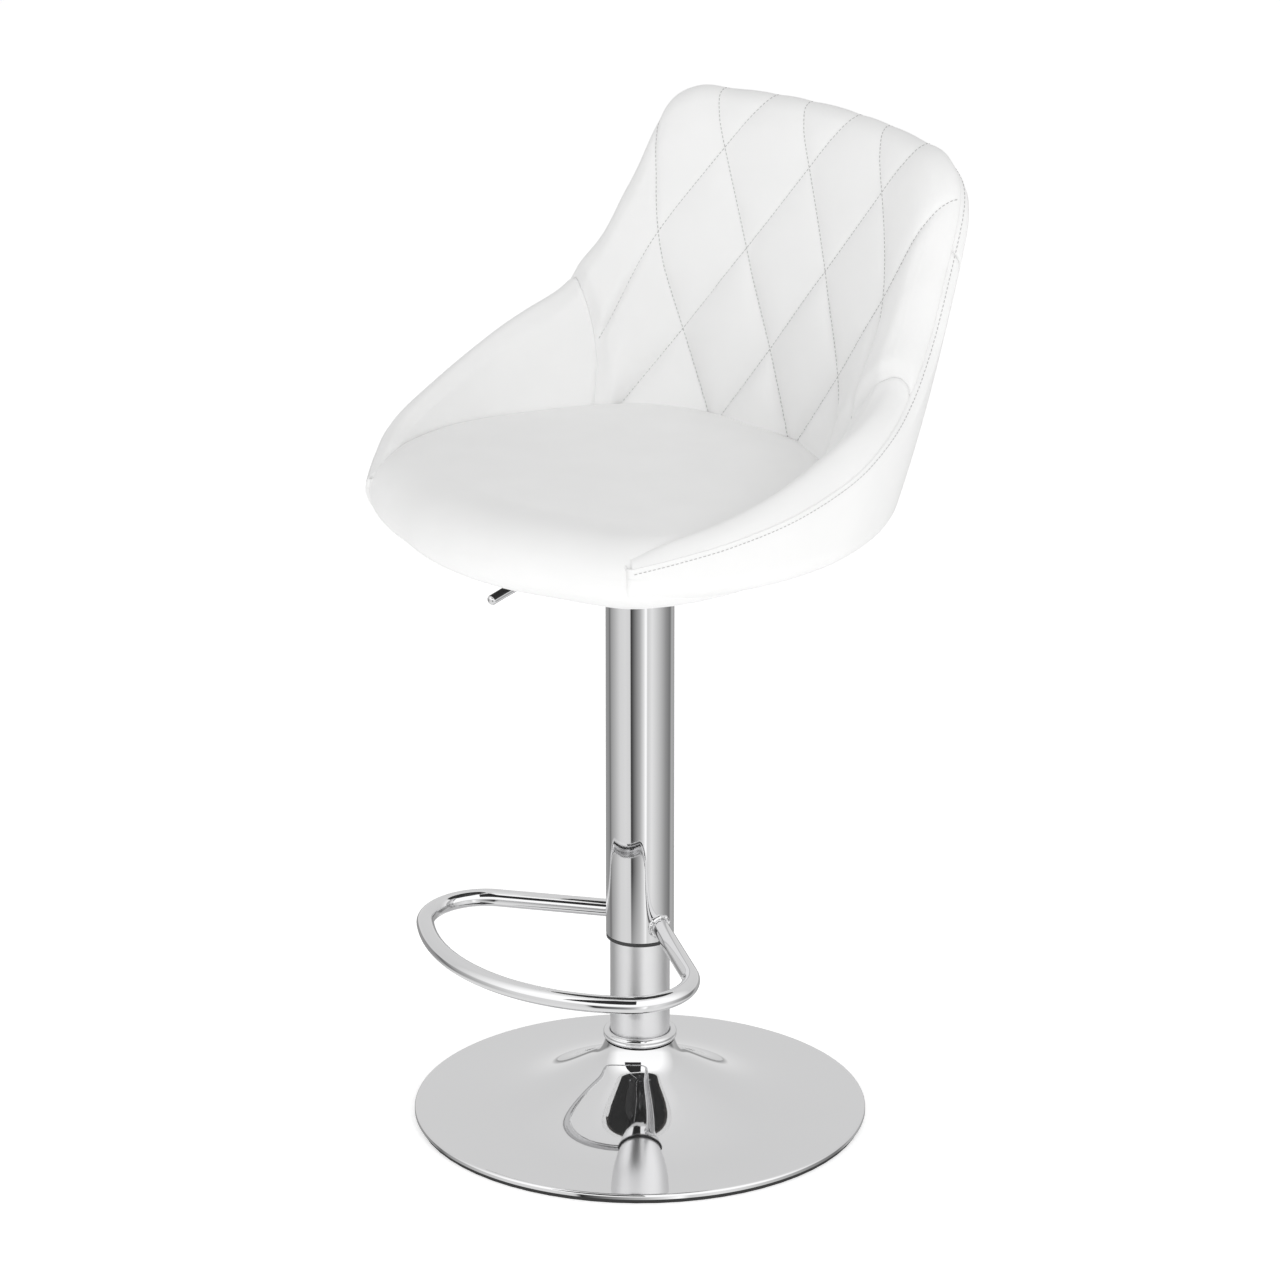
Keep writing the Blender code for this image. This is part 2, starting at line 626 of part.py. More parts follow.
def layer(name, near, far, span, floor, drop, look, swell=0.0):
    """One layer of the bucket's wall, as a closed slab.

    near and far are the depths of its two faces under the outer surface, span is its first
    and last column, floor is the height its foot stands at, and drop is how far its top
    edge stays under the rim. swell is added to far at the foot. It fades to nothing at the
    rim, and over the two columns at either end of the span.
    """
    grid, normals = bucket_grid()
    inside = np.arange(math.floor(span[0]) + 1, math.ceil(span[1]))
    places = np.array([span[0], *inside, span[1]])
    grid, normals = between(grid, places), between(normals, places)
    ends = np.minimum(places - span[0], span[1] - places)
    fade = np.clip(ends / 2, 0.0, 1.0)[:, None] * np.linspace(1.0, 0.0, UP)
    rows = np.linspace(0.0, 1.0, UP)
    mesh = bpy.data.meshes.new(name)
    shape = bmesh.new()
    loops = [[] for _ in places]
    for depth, order in ((np.full_like(fade, near), 1), (far + swell * fade, -1)):
        sheet = grid - normals * depth[:, :, None]
        foot = sheet[:, 0, 2]
        height = sheet[:, -1, 2] - foot
        start = np.clip((floor - foot) / height, 0.0, 0.9)
        end = 1.0 - drop / height
        for loop, column, first, last in zip(loops, sheet, start, end):
            heights = (first + (last - first) * rows) * (UP - 1)
            loop += [shape.verts.new(point) for point in between(column, heights)[::order]]
    around = 2 * UP
    for left, right in zip(loops, loops[1:]):
        for index in range(around):
            after = (index + 1) % around
            shape.faces.new((left[index], left[after], right[after], right[index]))
    for loop in (loops[0], loops[-1]):
        for row in range(UP - 1):
            shape.faces.new((loop[row], loop[row + 1], loop[-row - 2], loop[-row - 1]))
    bmesh.ops.recalc_face_normals(shape, faces=shape.faces)
    shape.to_mesh(mesh)
    shape.free()
    made = add_object(name, mesh, look)
    smooth(made)
    return made


def build_bucket(bolt_places):
    """Seat board, lining and cushion, and the three layers of the wall that wraps round them."""
    last = ALONG - 1
    split = BACK_PAD_COLUMN * (last / 2) / (len(BUCKET_COLUMNS) - 1)
    joint = 0.03  # half the gap between neighbouring panels, in columns
    left_side = (0.0, last / 2 - split - joint)
    back = (last / 2 - split + joint, last / 2 + split - joint)
    right_side = (last / 2 + split + joint, last)
    board_top = BOARD_BOTTOM + BOARD_THICKNESS
    wall_floor = board_top + 0.0020
    hem = SEAT_UNDERSIDE + 0.0006
    core_near = COVER_THICKNESS + LAYER_GAP
    core_far = core_near + CORE_THICKNESS
    pad_near = core_far + LAYER_GAP
    pad_far = pad_near + PAD_THICKNESS
    for side, span in (("left", left_side), ("right", right_side)):
        layer(f"side_cover_{side}", 0.0, COVER_THICKNESS, span, hem, 0.004, LEATHER)
        layer(f"wing_pad_{side}", pad_near, pad_far, span, wall_floor, 0.0, LEATHER)
    layer("rear_cover", 0.0, COVER_THICKNESS, back, hem, 0.004, LEATHER)
    layer("back_pad", pad_near, pad_far, back, wall_floor, 0.0, LEATHER, PAD_SWELL)
    core_span = (0.5, last - 0.5)
    layer("bucket_core", core_near, core_far, core_span, wall_floor, 0.012, PLYWOOD)

    grid, normals = bucket_grid()
    hem_line = grid[:, 0, :2]
    inward = normals[:, 0, :2] / np.linalg.norm(normals[:, 0, :2], axis=1)[:, None]
    nose = np.array(NOSE_OUTLINE)
    nose = np.vstack([nose, (nose * [-1, 1])[-2::-1]])
    outline = np.vstack([hem_line, nose])
    edge = np.roll(outline, -1, axis=0) - np.roll(outline, 1, axis=0)
    edge_normal = np.stack([edge[:, 1], -edge[:, 0]], axis=1)
    edge_normal /= np.linalg.norm(edge_normal, axis=1)[:, None]
    if (edge_normal * outline).sum() < 0:
        edge_normal = -edge_normal
    board_foot = outline - edge_normal * BOARD_FOOT_INSET
    board_head = outline - edge_normal * BOARD_TOP_INSET
    board = chamfered_plate("seat_board", board_foot, board_head, BOARD_BOTTOM, board_top, PLYWOOD)
    lining_outline = outline - edge_normal * LINING_INSET
    lining_top = BOARD_BOTTOM - GAP
    lining = flat_shape("lining", lining_outline, SEAT_UNDERSIDE, lining_top, LINING)
    for index, place in enumerate(bolt_places, 1):
        drill(f"board_hole_{index}", 0.0050, 0.51, board_top + 0.01, place, (board, lining))

    ends = np.minimum(np.arange(ALONG) - back[0], back[1] - np.arange(ALONG))
    wall = pad_far + 0.0020 + PAD_SWELL * np.clip(ends / 2, 0.0, 1.0)
    step = 0.0030
    inner_line = hem_line - inward * wall[:, None]
    along = hem_line[-1] - hem_line[-2]
    along /= np.linalg.norm(along)
    ahead = np.array([inner_line[-1] + along * step, hem_line[-1] + along * step])
    behind = (ahead * [-1, 1])[::-1]
    cushion_outline = np.vstack([inner_line, ahead, nose, behind])
    cushion = flat_shape("seat_cushion", cushion_outline, hem, CUSHION_TOP, LEATHER)
    clearance = 0.0008
    pocket_foot = outline - edge_normal * (BOARD_FOOT_INSET - clearance)
    pocket_head = outline - edge_normal * (BOARD_TOP_INSET - clearance)
    slope = (pocket_head - pocket_foot) / BOARD_THICKNESS
    pocket_bottom = BOARD_BOTTOM - 0.0040
    pocket_low = pocket_foot - slope * (BOARD_BOTTOM - pocket_bottom)
    pocket_high = pocket_head + slope * GAP
    pocket = chamfered_plate(
        "board_pocket", pocket_low, pocket_high, pocket_bottom, board_top + GAP, None, CUTTERS
    )
    cut(cushion, cutter(pocket))


def hang(moving, name, place):
    """Puts an empty on a joint's axis and hangs the moving objects from it."""
    pivot = bpy.data.objects.new(name, None)
    PARTS.objects.link(pivot)
    pivot.location = place
    bpy.context.view_layer.update()
    for thing in moving:
        thing.parent = pivot
        thing.matrix_parent_inverse = pivot.matrix_world.inverted()


tube_seat = build_base()
bearing_top = build_lower_column(tube_seat)
build_rod(bearing_top)
build_cylinder()
build_outer_column()
places = build_mechanism()
lever = build_lever()
build_bucket(places)
hang([lever], "lever_axis", LEVER_PIVOT)
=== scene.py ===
import json
import math

import bmesh
import bpy
import numpy as np
from mathutils import Matrix, Vector


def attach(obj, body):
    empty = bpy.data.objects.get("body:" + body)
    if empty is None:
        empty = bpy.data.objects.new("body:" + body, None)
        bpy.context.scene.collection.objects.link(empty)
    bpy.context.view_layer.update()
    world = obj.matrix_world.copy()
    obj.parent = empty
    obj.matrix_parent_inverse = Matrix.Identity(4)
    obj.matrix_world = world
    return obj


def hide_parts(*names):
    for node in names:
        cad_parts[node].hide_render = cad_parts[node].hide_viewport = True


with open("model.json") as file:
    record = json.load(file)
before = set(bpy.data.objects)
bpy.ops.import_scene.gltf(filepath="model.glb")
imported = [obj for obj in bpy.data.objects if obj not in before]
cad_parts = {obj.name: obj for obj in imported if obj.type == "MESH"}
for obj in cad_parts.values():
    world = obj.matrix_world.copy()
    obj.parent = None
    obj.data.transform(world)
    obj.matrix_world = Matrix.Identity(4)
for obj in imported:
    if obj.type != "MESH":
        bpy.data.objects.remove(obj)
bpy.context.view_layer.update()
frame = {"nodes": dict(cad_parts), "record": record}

# ---- Studio ----
# A white sweep under broad, soft light. The surroundings that the chrome mirrors are pale,
# with one dark flag beside the camera and a greyer far side, as in a product studio.

CAMERA_TURN = math.radians(46.0)
CAMERA_RISE = math.radians(19.97)
CAMERA_DISTANCE = 6.0
CAMERA_TARGET = Vector((0.0, 0.0, 0.45))
CAMERA_LENS, SENSOR_WIDTH = 202.3, 36.0  # millimetres
CAMERA_SHIFT = -0.0186
FAR_PLANE = 200.0
FLOOR_HALF = 30.0


def put_object(name, data):
    """A new object in the scene."""
    made = bpy.data.objects.new(name, data)
    bpy.context.scene.collection.objects.link(made)
    return made


def aim(thing, direction):
    """Turns a camera or a light to look along a direction."""
    thing.rotation_mode = "QUATERNION"
    thing.rotation_quaternion = direction.to_track_quat("-Z", "Y")


camera_data = bpy.data.cameras.new("camera")
camera_data.lens = CAMERA_LENS
camera_data.sensor_width = SENSOR_WIDTH
camera_data.shift_y = CAMERA_SHIFT
camera_data.clip_end = FAR_PLANE
camera = put_object("camera", camera_data)
towards = Vector((
    math.sin(CAMERA_TURN) * math.cos(CAMERA_RISE),
    -math.cos(CAMERA_TURN) * math.cos(CAMERA_RISE),
    math.sin(CAMERA_RISE),
))
camera.location = CAMERA_TARGET + towards * CAMERA_DISTANCE
aim(camera, -towards)
bpy.context.scene.camera = camera
bpy.context.scene.view_settings.view_transform = "Standard"

# Brightness of the surroundings by heading, in degrees from the camera, growing to its right.
SURROUNDINGS = (
    (-180, 0.40), (-150, 0.50), (-128, 0.45), (-121, 0.25), (-112, 0.55), (-92, 0.80),
    (-70, 1.15), (-50, 1.22), (-33, 1.15), (-30, 0.03), (0, 0.72), (12, 1.25), (20, 1.85),
    (25, 1.12), (40, 1.34), (70, 0.90), (96, 0.50), (119, 0.30), (131, 0.70), (180, 0.40),
)
# Brightness by height, in degrees over the horizon: in front of the stool, and behind it.
SKY_FRONT = (
    (-90, 1.30), (-40, 1.25), (-22, 0.95), (-6, 1.00), (4, 1.75), (60, 1.90), (78, 1.35), (90, 1.25),
)
SKY_BEHIND = ((-90, 1.25), (-30, 1.15), (9, 1.05), (34, 1.08), (60, 1.15), (90, 1.25))
# The band by heading holds between these two stretches. They are shares of the way from
# straight down to straight up, the first counted to the horizon and the second to the top.
BAND_FOOT, BAND_TOP = (0.35, 0.52), (0.435, 0.462)
FRONT_SHARPNESS = 1.6  # how fast the sky in front gives way to the one behind
# The dark flag beside the camera, in degrees: the heading of its middle, its half width, and
# the heights of its lower and upper edges.
FLAG_HEADING, FLAG_HALF_WIDTH = -22.0, 25.0
FLAG_LOW, FLAG_HIGH = 27.0, 72.0
FLAG_BRIGHTNESS = 0.05
BRIGHTEST = 2.0
AMBIENT = 0.66

world = bpy.data.worlds.new("studio")
bpy.context.scene.world = world
world.use_nodes = True
tree = world.node_tree
tree.nodes.clear()


def link(tree, source, target):
    """Joins one socket to another."""
    tree.links.new(source, target)


def feed(tree, value, socket):
    """Sets an input socket to a plain number, or joins an output socket to it."""
    if isinstance(value, (int, float)):
        socket.default_value = value
    else:
        link(tree, value, socket)


def math_node(tree, operation, *values):
    """A Math node on up to three sockets or plain numbers, and its result."""
    made = tree.nodes.new("ShaderNodeMath")
    made.operation = operation
    for value, socket in zip(values, made.inputs):
        feed(tree, value, socket)
    return made.outputs[0]


def dot(tree, vector, direction):
    """The part of a vector socket that lies along a fixed direction."""
    made = tree.nodes.new("ShaderNodeVectorMath")
    made.operation = "DOT_PRODUCT"
    link(tree, vector, made.inputs[0])
    made.inputs[1].default_value = direction
    return made.outputs["Value"]


def grey_mix(tree, share, first, second):
    """A float Mix node between two sockets or numbers."""
    made = tree.nodes.new("ShaderNodeMix")
    made.data_type = "FLOAT"
    link(tree, share, made.inputs[0])
    feed(tree, first, made.inputs[2])
    feed(tree, second, made.inputs[3])
    return made.outputs[0]


def ramp(tree, value, stops):
    """A grey colour ramp through (place, brightness) stops."""
    made = tree.nodes.new("ShaderNodeValToRGB")
    while len(made.color_ramp.elements) < len(stops):
        made.color_ramp.elements.new(0.5)
    for element, (place, grey) in zip(made.color_ramp.elements, stops):
        element.position = place
        element.color = (grey, grey, grey, 1.0)
    link(tree, value, made.inputs[0])
    return made.outputs[0]


heading = tree.nodes.new("ShaderNodeTexCoord").outputs["Generated"]
ahead = dot(tree, heading, (math.sin(CAMERA_TURN), -math.cos(CAMERA_TURN), 0.0))
aside = dot(tree, heading, (math.cos(CAMERA_TURN), math.sin(CAMERA_TURN), 0.0))
rise = dot(tree, heading, (0.0, 0.0, 1.0))
turn = math_node(tree, "ARCTAN2", aside, ahead)
round_share = math_node(tree, "MULTIPLY_ADD", turn, 1 / (2 * math.pi), 0.5)
stops = [((degrees + 180) / 360, grey / BRIGHTEST) for degrees, grey in SURROUNDINGS]
band = math_node(tree, "MULTIPLY", ramp(tree, round_share, stops), BRIGHTEST)
height_share = math_node(tree, "MULTIPLY_ADD", rise, 0.5, 0.5)
over_band = ramp(tree, height_share, [(BAND_TOP[0], 0.0), (BAND_TOP[1], 1.0)])
skies = []
for sky_stops in (SKY_BEHIND, SKY_FRONT):
    stops = [(0.5 + 0.5 * math.sin(math.radians(degrees)), grey / BRIGHTEST) for degrees, grey in sky_stops]
    skies.append(ramp(tree, height_share, stops))
frontness = math_node(tree, "MULTIPLY_ADD", ahead, FRONT_SHARPNESS, 0.5)
frontness.node.use_clamp = True
sky = math_node(tree, "MULTIPLY", grey_mix(tree, frontness, *skies), BRIGHTEST)
heading_off = math_node(tree, "ABSOLUTE", math_node(tree, "SUBTRACT", turn, math.radians(FLAG_HEADING)))
beside = math_node(tree, "LESS_THAN", heading_off, math.radians(FLAG_HALF_WIDTH))
over_foot = math_node(tree, "GREATER_THAN", rise, math.sin(math.radians(FLAG_LOW)))
under_top = math_node(tree, "LESS_THAN", rise, math.sin(math.radians(FLAG_HIGH)))
flag = math_node(tree, "MULTIPLY", math_node(tree, "MULTIPLY", over_foot, under_top), beside)
sky = grey_mix(tree, flag, sky, FLAG_BRIGHTNESS)
foot_share = math_node(tree, "MULTIPLY_ADD", rise, 1.0, 1.0)
under_band = ramp(tree, foot_share, [(BAND_FOOT[0], 1.0), (BAND_FOOT[1], 0.0)])
mirrored_studio = grey_mix(tree, under_band, grey_mix(tree, over_band, band, sky), sky)
rays = tree.nodes.new("ShaderNodeLightPath")
seen = grey_mix(tree, rays.outputs["Is Glossy Ray"], AMBIENT, mirrored_studio)
seen = grey_mix(tree, rays.outputs["Is Camera Ray"], seen, 1.0)
background = tree.nodes.new("ShaderNodeBackground")
link(tree, seen, background.inputs["Strength"])
output = tree.nodes.new("ShaderNodeOutputWorld")
link(tree, background.outputs[0], output.inputs["Surface"])


def softbox(name, place, target, width, power):
    """A square area light aimed at a point."""
    light = bpy.data.lights.new(name, "AREA")
    light.size = width
    light.energy = power
    made = put_object(name, light)
    made.location = place
    aim(made, Vector(target) - Vector(place))
    made.visible_glossy = False


softbox("key_light", (3.2, -0.9, 1.9), (0.0, 0.0, 0.6), 1.8, 34.0)
softbox("front_light", (-0.8, -3.3, 1.9), (0.0, 0.0, 0.6), 1.8, 24.0)
softbox("top_light", (0.4, 0.3, 3.4), (0.0, 0.0, 0.0), 2.4, 12.0)


def put_mesh(name, points, faces, sharp=None):
    """A smooth-shaded mesh object at the origin, from arrays of points and of faces."""
    mesh = bpy.data.meshes.new(name)
    mesh.from_pydata(points.reshape(-1, 3).tolist(), [], faces)
    mesh.validate()
    mesh.shade_smooth()
    if sharp:
        mesh.set_sharp_from_angle(angle=math.radians(sharp))
    return put_object(name, mesh)


def new_material(name):
    """A material, its node tree and its Principled shader."""
    made = bpy.data.materials.new(name)
    made.use_nodes = True
    return made, made.node_tree, made.node_tree.nodes["Principled BSDF"]


corners = np.array([[-1, -1, 0], [1, -1, 0], [1, 1, 0], [-1, 1, 0]], float) * FLOOR_HALF
floor = put_mesh("studio_floor", corners, [(0, 1, 2, 3)])
floor.visible_glossy = False
floor_paint, _, paint = new_material("studio_floor")
paint.inputs["Base Color"].default_value = (0.88, 0.88, 0.88, 1.0)
paint.inputs["Roughness"].default_value = 0.9
paint.inputs["Specular IOR Level"].default_value = 0.0
paint.inputs["Emission Color"].default_value = (1.0, 1.0, 1.0, 1.0)
paint.inputs["Emission Strength"].default_value = 0.50
floor.data.materials.append(floor_paint)

# ---- Base cover ----
# The round chromed sheet that flares up into a neck round the column. It is spun from one
# disc of steel, turned down over the edge of the floor pad and polished before plating.

BASE_RADIUS = 0.1925
NECK_RADIUS = 0.0295
RIM_TOP = 0.0085
HILL_HEIGHT, HILL_REACH = 0.0525, 0.0800
FILLET_HEIGHT, FILLET_REACH = 0.0142, 0.0037
COVER_SHEET = 0.0015
COVER_HEM = 0.0043
RIM_ROUND = 0.0025
COVER_STEPS = 140
COVER_SPACING = 2.2  # power that draws the steps towards the neck
SPIN_STEPS = 256


def shader_group(name, inputs, outputs):
    """An empty shader node group, with its own input and output nodes."""
    group = bpy.data.node_groups.new(name, "ShaderNodeTree")
    for title, value in inputs:
        socket = group.interface.new_socket(title, in_out="INPUT", socket_type="NodeSocketFloat")
        socket.default_value = value
    for title, kind in outputs:
        group.interface.new_socket(title, in_out="OUTPUT", socket_type=kind)
    return group, group.nodes.new("NodeGroupInput"), group.nodes.new("NodeGroupOutput")


def texture(tree, kind, vector, scale, **settings):
    """A texture node on a coordinate socket. scale may be a number or a socket."""
    made = tree.nodes.new(kind)
    link(tree, vector, made.inputs["Vector"])
    feed(tree, scale, made.inputs["Scale"])
    for title, value in settings.items():
        made.inputs[title].default_value = value
    return made


def map_range(tree, value, low, high):
    """A Map Range node from 0..1 to low..high."""
    made = tree.nodes.new("ShaderNodeMapRange")
    link(tree, value, made.inputs["Value"])
    feed(tree, low, made.inputs["To Min"])
    feed(tree, high, made.inputs["To Max"])
    return made.outputs["Result"]


def drift(nodes, share, colour, tint, shader):
    """Base colour that runs from colour to tint by a share socket."""
    blend = nodes.nodes.new("ShaderNodeMix")
    blend.data_type = "RGBA"
    blend.inputs[6].default_value = (*colour, 1.0)
    blend.inputs[7].default_value = (*tint, 1.0)
    link(nodes, share, blend.inputs[0])
    link(nodes, blend.outputs[2], shader.inputs["Base Color"])


def emboss(nodes, height, strength, distance, shader):
    """Fine relief from a height socket."""
    dent = nodes.nodes.new("ShaderNodeBump")
    dent.inputs["Strength"].default_value = strength
    dent.inputs["Distance"].default_value = distance
    link(nodes, height, dent.inputs["Height"])
    link(nodes, dent.outputs[0], shader.inputs["Normal"])


def group_node(nodes, group, **settings):
    """A node of a shader group, with some of its inputs set. Underscores stand for spaces."""
    made = nodes.nodes.new("ShaderNodeGroup")
    made.node_tree = group
    for title, value in settings.items():
        made.inputs[title.replace("_", " ")].default_value = value
    return made


# Surface wear: a slow cloud of handling haze and a fine grain of polishing marks.
wear, wear_in, wear_out = shader_group(
    "surface_wear",
    [("Cloud Scale", 14.0), ("Grain Scale", 900.0), ("Low", 0.0), ("High", 1.0)],
    [("Haze", "NodeSocketFloat"), ("Grain", "NodeSocketFloat")],
)
where = wear.nodes.new("ShaderNodeTexCoord").outputs["Object"]
cloud = texture(wear, "ShaderNodeTexNoise", where, wear_in.outputs["Cloud Scale"], Detail=4.0)
haze = map_range(wear, cloud.outputs[0], wear_in.outputs["Low"], wear_in.outputs["High"])
link(wear, haze, wear_out.inputs["Haze"])
grain = texture(wear, "ShaderNodeTexNoise", where, wear_in.outputs["Grain Scale"], Detail=2.0)
link(wear, grain.outputs[0], wear_out.inputs["Grain"])


def finish(name, colour, tint, rough, metallic, cloud_scale, grain_scale, bump):
    """A material whose colour drifts to a tint, and its roughness between the two in rough,
    with the haze of the wear group."""
    made, nodes, shader = new_material(name)
    shader.inputs["Metallic"].default_value = metallic
    haze = group_node(nodes, wear, Cloud_Scale=cloud_scale, Grain_Scale=grain_scale)
    drift(nodes, haze.outputs["Haze"], colour, tint, shader)
    link(nodes, map_range(nodes, haze.outputs["Haze"], *rough), shader.inputs["Roughness"])
    emboss(nodes, haze.outputs["Grain"], bump, 0.0002, shader)
    return made


chrome = finish(
    "polished_chrome", (0.70, 0.70, 0.705), (0.68, 0.68, 0.685), (0.015, 0.05),
    metallic=1.0, cloud_scale=9.0, grain_scale=700.0, bump=0.01,
)
satin_chrome = finish(
    "inner_tube_chrome", (0.84, 0.84, 0.845), (0.81, 0.81, 0.815), (0.34, 0.40),
    metallic=1.0, cloud_scale=9.0, grain_scale=700.0, bump=0.01,
)


def quads(across, along, wrap_across=False, wrap_along=False):
    """Faces of a grid of points[across, along], as index rows worked out from the counts."""
    first = np.arange(across if wrap_across else across - 1)
    second = np.arange(along if wrap_along else along - 1)
    a, b = np.meshgrid(first, second, indexing="ij")
    c, d = (a + 1) % across, (b + 1) % along
    index = np.stack([a * along + b, c * along + b, c * along + d, a * along + d], -1)
    return index.reshape(-1, 4).tolist()


def outward(thing):
    """Turns the faces of a closed mesh to point outwards."""
    shape = bmesh.new()
    shape.from_mesh(thing.data)
    bmesh.ops.recalc_face_normals(shape, faces=shape.faces)
    shape.to_mesh(thing.data)
    shape.free()
    return thing


def dress(piece, material, body, slot, *nodes):
    """Gives a piece its material and body, and hides the CAD nodes it stands for, given by name. The slot
    is not used.
    """
    piece.data.materials.clear()
    piece.data.materials.append(material)
    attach(piece, body)
    if nodes:
        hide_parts(*nodes)


def full_turn(count):
    """Angles spaced evenly round a circle."""
    return np.linspace(0.0, 2 * math.pi, count, endpoint=False)


def spun(name, profile, sharp):
    """A ring: each (radius, height) of the closed profile is carried round the Z axis."""
    angle = full_turn(SPIN_STEPS)
    radius, height = np.asarray(profile).T
    points = np.stack(
        [np.outer(np.cos(angle), radius), np.outer(np.sin(angle), radius),
         np.broadcast_to(height, (SPIN_STEPS, len(height)))], -1,
    )
    return outward(put_mesh(name, points, quads(SPIN_STEPS, len(height), True, True), sharp))


def cover_profile():
    """The cover's section: a bell-shaped hill, HILL_HEIGHT exp(-(r / HILL_REACH)^2), and a
    steep fillet, FILLET_HEIGHT exp(-(r - NECK_RADIUS) / FILLET_REACH), over the rim's height.

    It ends in a quarter round at the rim and drops to the hem. The inside runs back one
    sheet's thickness under it.
    """
    run = BASE_RADIUS - RIM_ROUND - NECK_RADIUS
    radius = NECK_RADIUS + run * np.linspace(0.0, 1.0, COVER_STEPS) ** COVER_SPACING
    height = RIM_TOP + HILL_HEIGHT * np.exp(-((radius / HILL_REACH) ** 2))
    height = height + FILLET_HEIGHT * np.exp((NECK_RADIUS - radius) / FILLET_REACH)
    bend = np.linspace(math.pi / 2, 0.0, 9)[1:]
    round_x = BASE_RADIUS - RIM_ROUND + RIM_ROUND * np.cos(bend)
    round_z = height[-1] - RIM_ROUND + RIM_ROUND * np.sin(bend)
    outer = np.vstack([
        np.stack([radius, height], -1), np.stack([round_x, round_z], -1),
        [[BASE_RADIUS, COVER_HEM], [BASE_RADIUS - COVER_SHEET, COVER_HEM]],
    ])
    inner = np.stack([radius[::-1] - COVER_SHEET * 0.3, height[::-1] - COVER_SHEET], -1)
    return np.vstack([outer, inner])


base_cover = spun("base_flare", cover_profile(), 50)
dress(base_cover, chrome, "base", "chrome", "base_cover")

# ---- Collar ring ----
# A moulded and plated ring that slips down the column and hides the joint with the cover.
# It is two rounds with a groove between them.

COLLAR_RADIUS = 0.0278
COLLAR_HEIGHT = 0.0735
COLLAR_BORE = 0.0256
COLLAR_REACH, COLLAR_HALF_HEIGHT = 0.0036, 0.0042
GROOVE_DEPTH, GROOVE_WIDTH = 0.0010, 0.22  # width as a share of the half height


def collar_profile():
    """Two lobes: an ellipse whose reach dips by a bell curve at its middle height."""
    angle = full_turn(48)
    groove = GROOVE_DEPTH * np.exp(-((np.sin(angle) / GROOVE_WIDTH) ** 2)) * (np.cos(angle) > 0)
    radius = np.maximum(COLLAR_RADIUS + (COLLAR_REACH - groove) * np.cos(angle), COLLAR_BORE)
    return np.stack([radius, COLLAR_HEIGHT + COLLAR_HALF_HEIGHT * np.sin(angle)], -1)


collar = spun("collar", collar_profile(), 60)
dress(collar, chrome, "base", "chrome", "collar_ring")

# ---- Column tubes ----
# Two welded steel tubes, plated inside and out: the fixed one stands in the base, and the
# wider one slides over it on a black nylon bush, carrying the footrest and the seat.

FIXED_TUBE = (0.0253, 0.0015, 0.0118, 0.4050)  # radius, wall, bottom, top
SLIDING_TUBE = (0.0288, 0.0015, 0.1660, 0.4930)
TUBE_EDGE = 0.0004


def tube_profile(radius, wall, bottom, top):
    """A tube's section: a tall box with its two outer corners rounded to TUBE_EDGE."""
    bend = np.linspace(0.0, math.pi / 2, 5)
    crown = [radius, top] + TUBE_EDGE * (np.stack([np.cos(bend), np.sin(bend)], -1) - 1)
    foot = np.stack([crown[::-1, 0], bottom + top - crown[::-1, 1]], -1)
    inside = radius - wall
    return np.vstack([crown, [[inside, top], [inside, bottom]], foot])


fixed_tube = spun("fixed_column_tube", tube_profile(*FIXED_TUBE), 60)
dress(fixed_tube, satin_chrome, "base", "chrome", "lower_tube")
sliding_tube = spun("sliding_column_tube", tube_profile(*SLIDING_TUBE), 60)
dress(sliding_tube, chrome, "seat", "chrome", "upper_tube")

# ---- Footrest ----
# One length of 15 mm steel tube, bent to a wide bow and welded to the sliding tube with a
# bead round each end, then ground and plated with the tube.

REST_RADIUS = 0.0075
ARM_START = np.array([0.0200, 0.0005])
ARM_DIRECTION = np.array([0.864, -0.503])
BOW_CENTRE = np.array([0.0, 0.0180])
BOW_RADIUS = 0.1954
REST_BEND = 0.0475
REST_HEIGHT = 0.1801
REST_DROOP = 0.038
ARM_HIDDEN = 0.010  # the arm's first stretch, inside the sliding tube
BEAD_RADIUS, BEAD_RISE = 0.0023, 0.0006
BEAD_STEPS = (96, 16)  # along the bead, and round it


def unit(vectors):
    """Vectors scaled to length one, along their last axis."""
    return vectors / np.linalg.norm(vectors, axis=-1, keepdims=True)


def on_circle(centre, radius, first, last, count):
    """Points on an arc of a circle between two angles."""
    angle = np.linspace(first, last, count)
    return centre + radius * np.stack([np.cos(angle), np.sin(angle)], -1)


def rest_line():
    """Centre line of the footrest: a straight arm, a bend that touches the arm and the bow
    from inside, the bow itself, and the mirror of all three."""
    step = unit(ARM_DIRECTION)
    inward = np.array([step[1], -step[0]])
    offset = ARM_START + inward * REST_BEND - BOW_CENTRE
    half = offset @ step
    travel = -half + math.sqrt(half**2 - offset @ offset + (BOW_RADIUS - REST_BEND) ** 2)
    bend_centre = BOW_CENTRE + offset + step * travel
    away = unit(bend_centre - BOW_CENTRE)
    first = math.atan2(-inward[1], -inward[0])
    last = math.atan2(away[1], away[0])
    arm = ARM_START + step * np.linspace(ARM_HIDDEN, travel, 30)[:-1, None]
    bend = on_circle(bend_centre, REST_BEND, first, last, 30)[:-1]
    bow = on_circle(BOW_CENTRE, BOW_RADIUS, last, -math.pi / 2, 60)
    right = np.vstack([arm, bend, bow])
    plan = np.vstack([right, (right * [-1, 1])[-2::-1]])
    return np.column_stack([plan, REST_HEIGHT + REST_DROOP * plan[:, 1]])


def tube_faces(count, around):
    """Faces of a closed bar of points[count, around], with one face over each end."""
    last = (count - 1) * around
    ends = [list(range(around))[::-1], list(range(last, last + around))]
    return quads(count, around, False, True) + ends


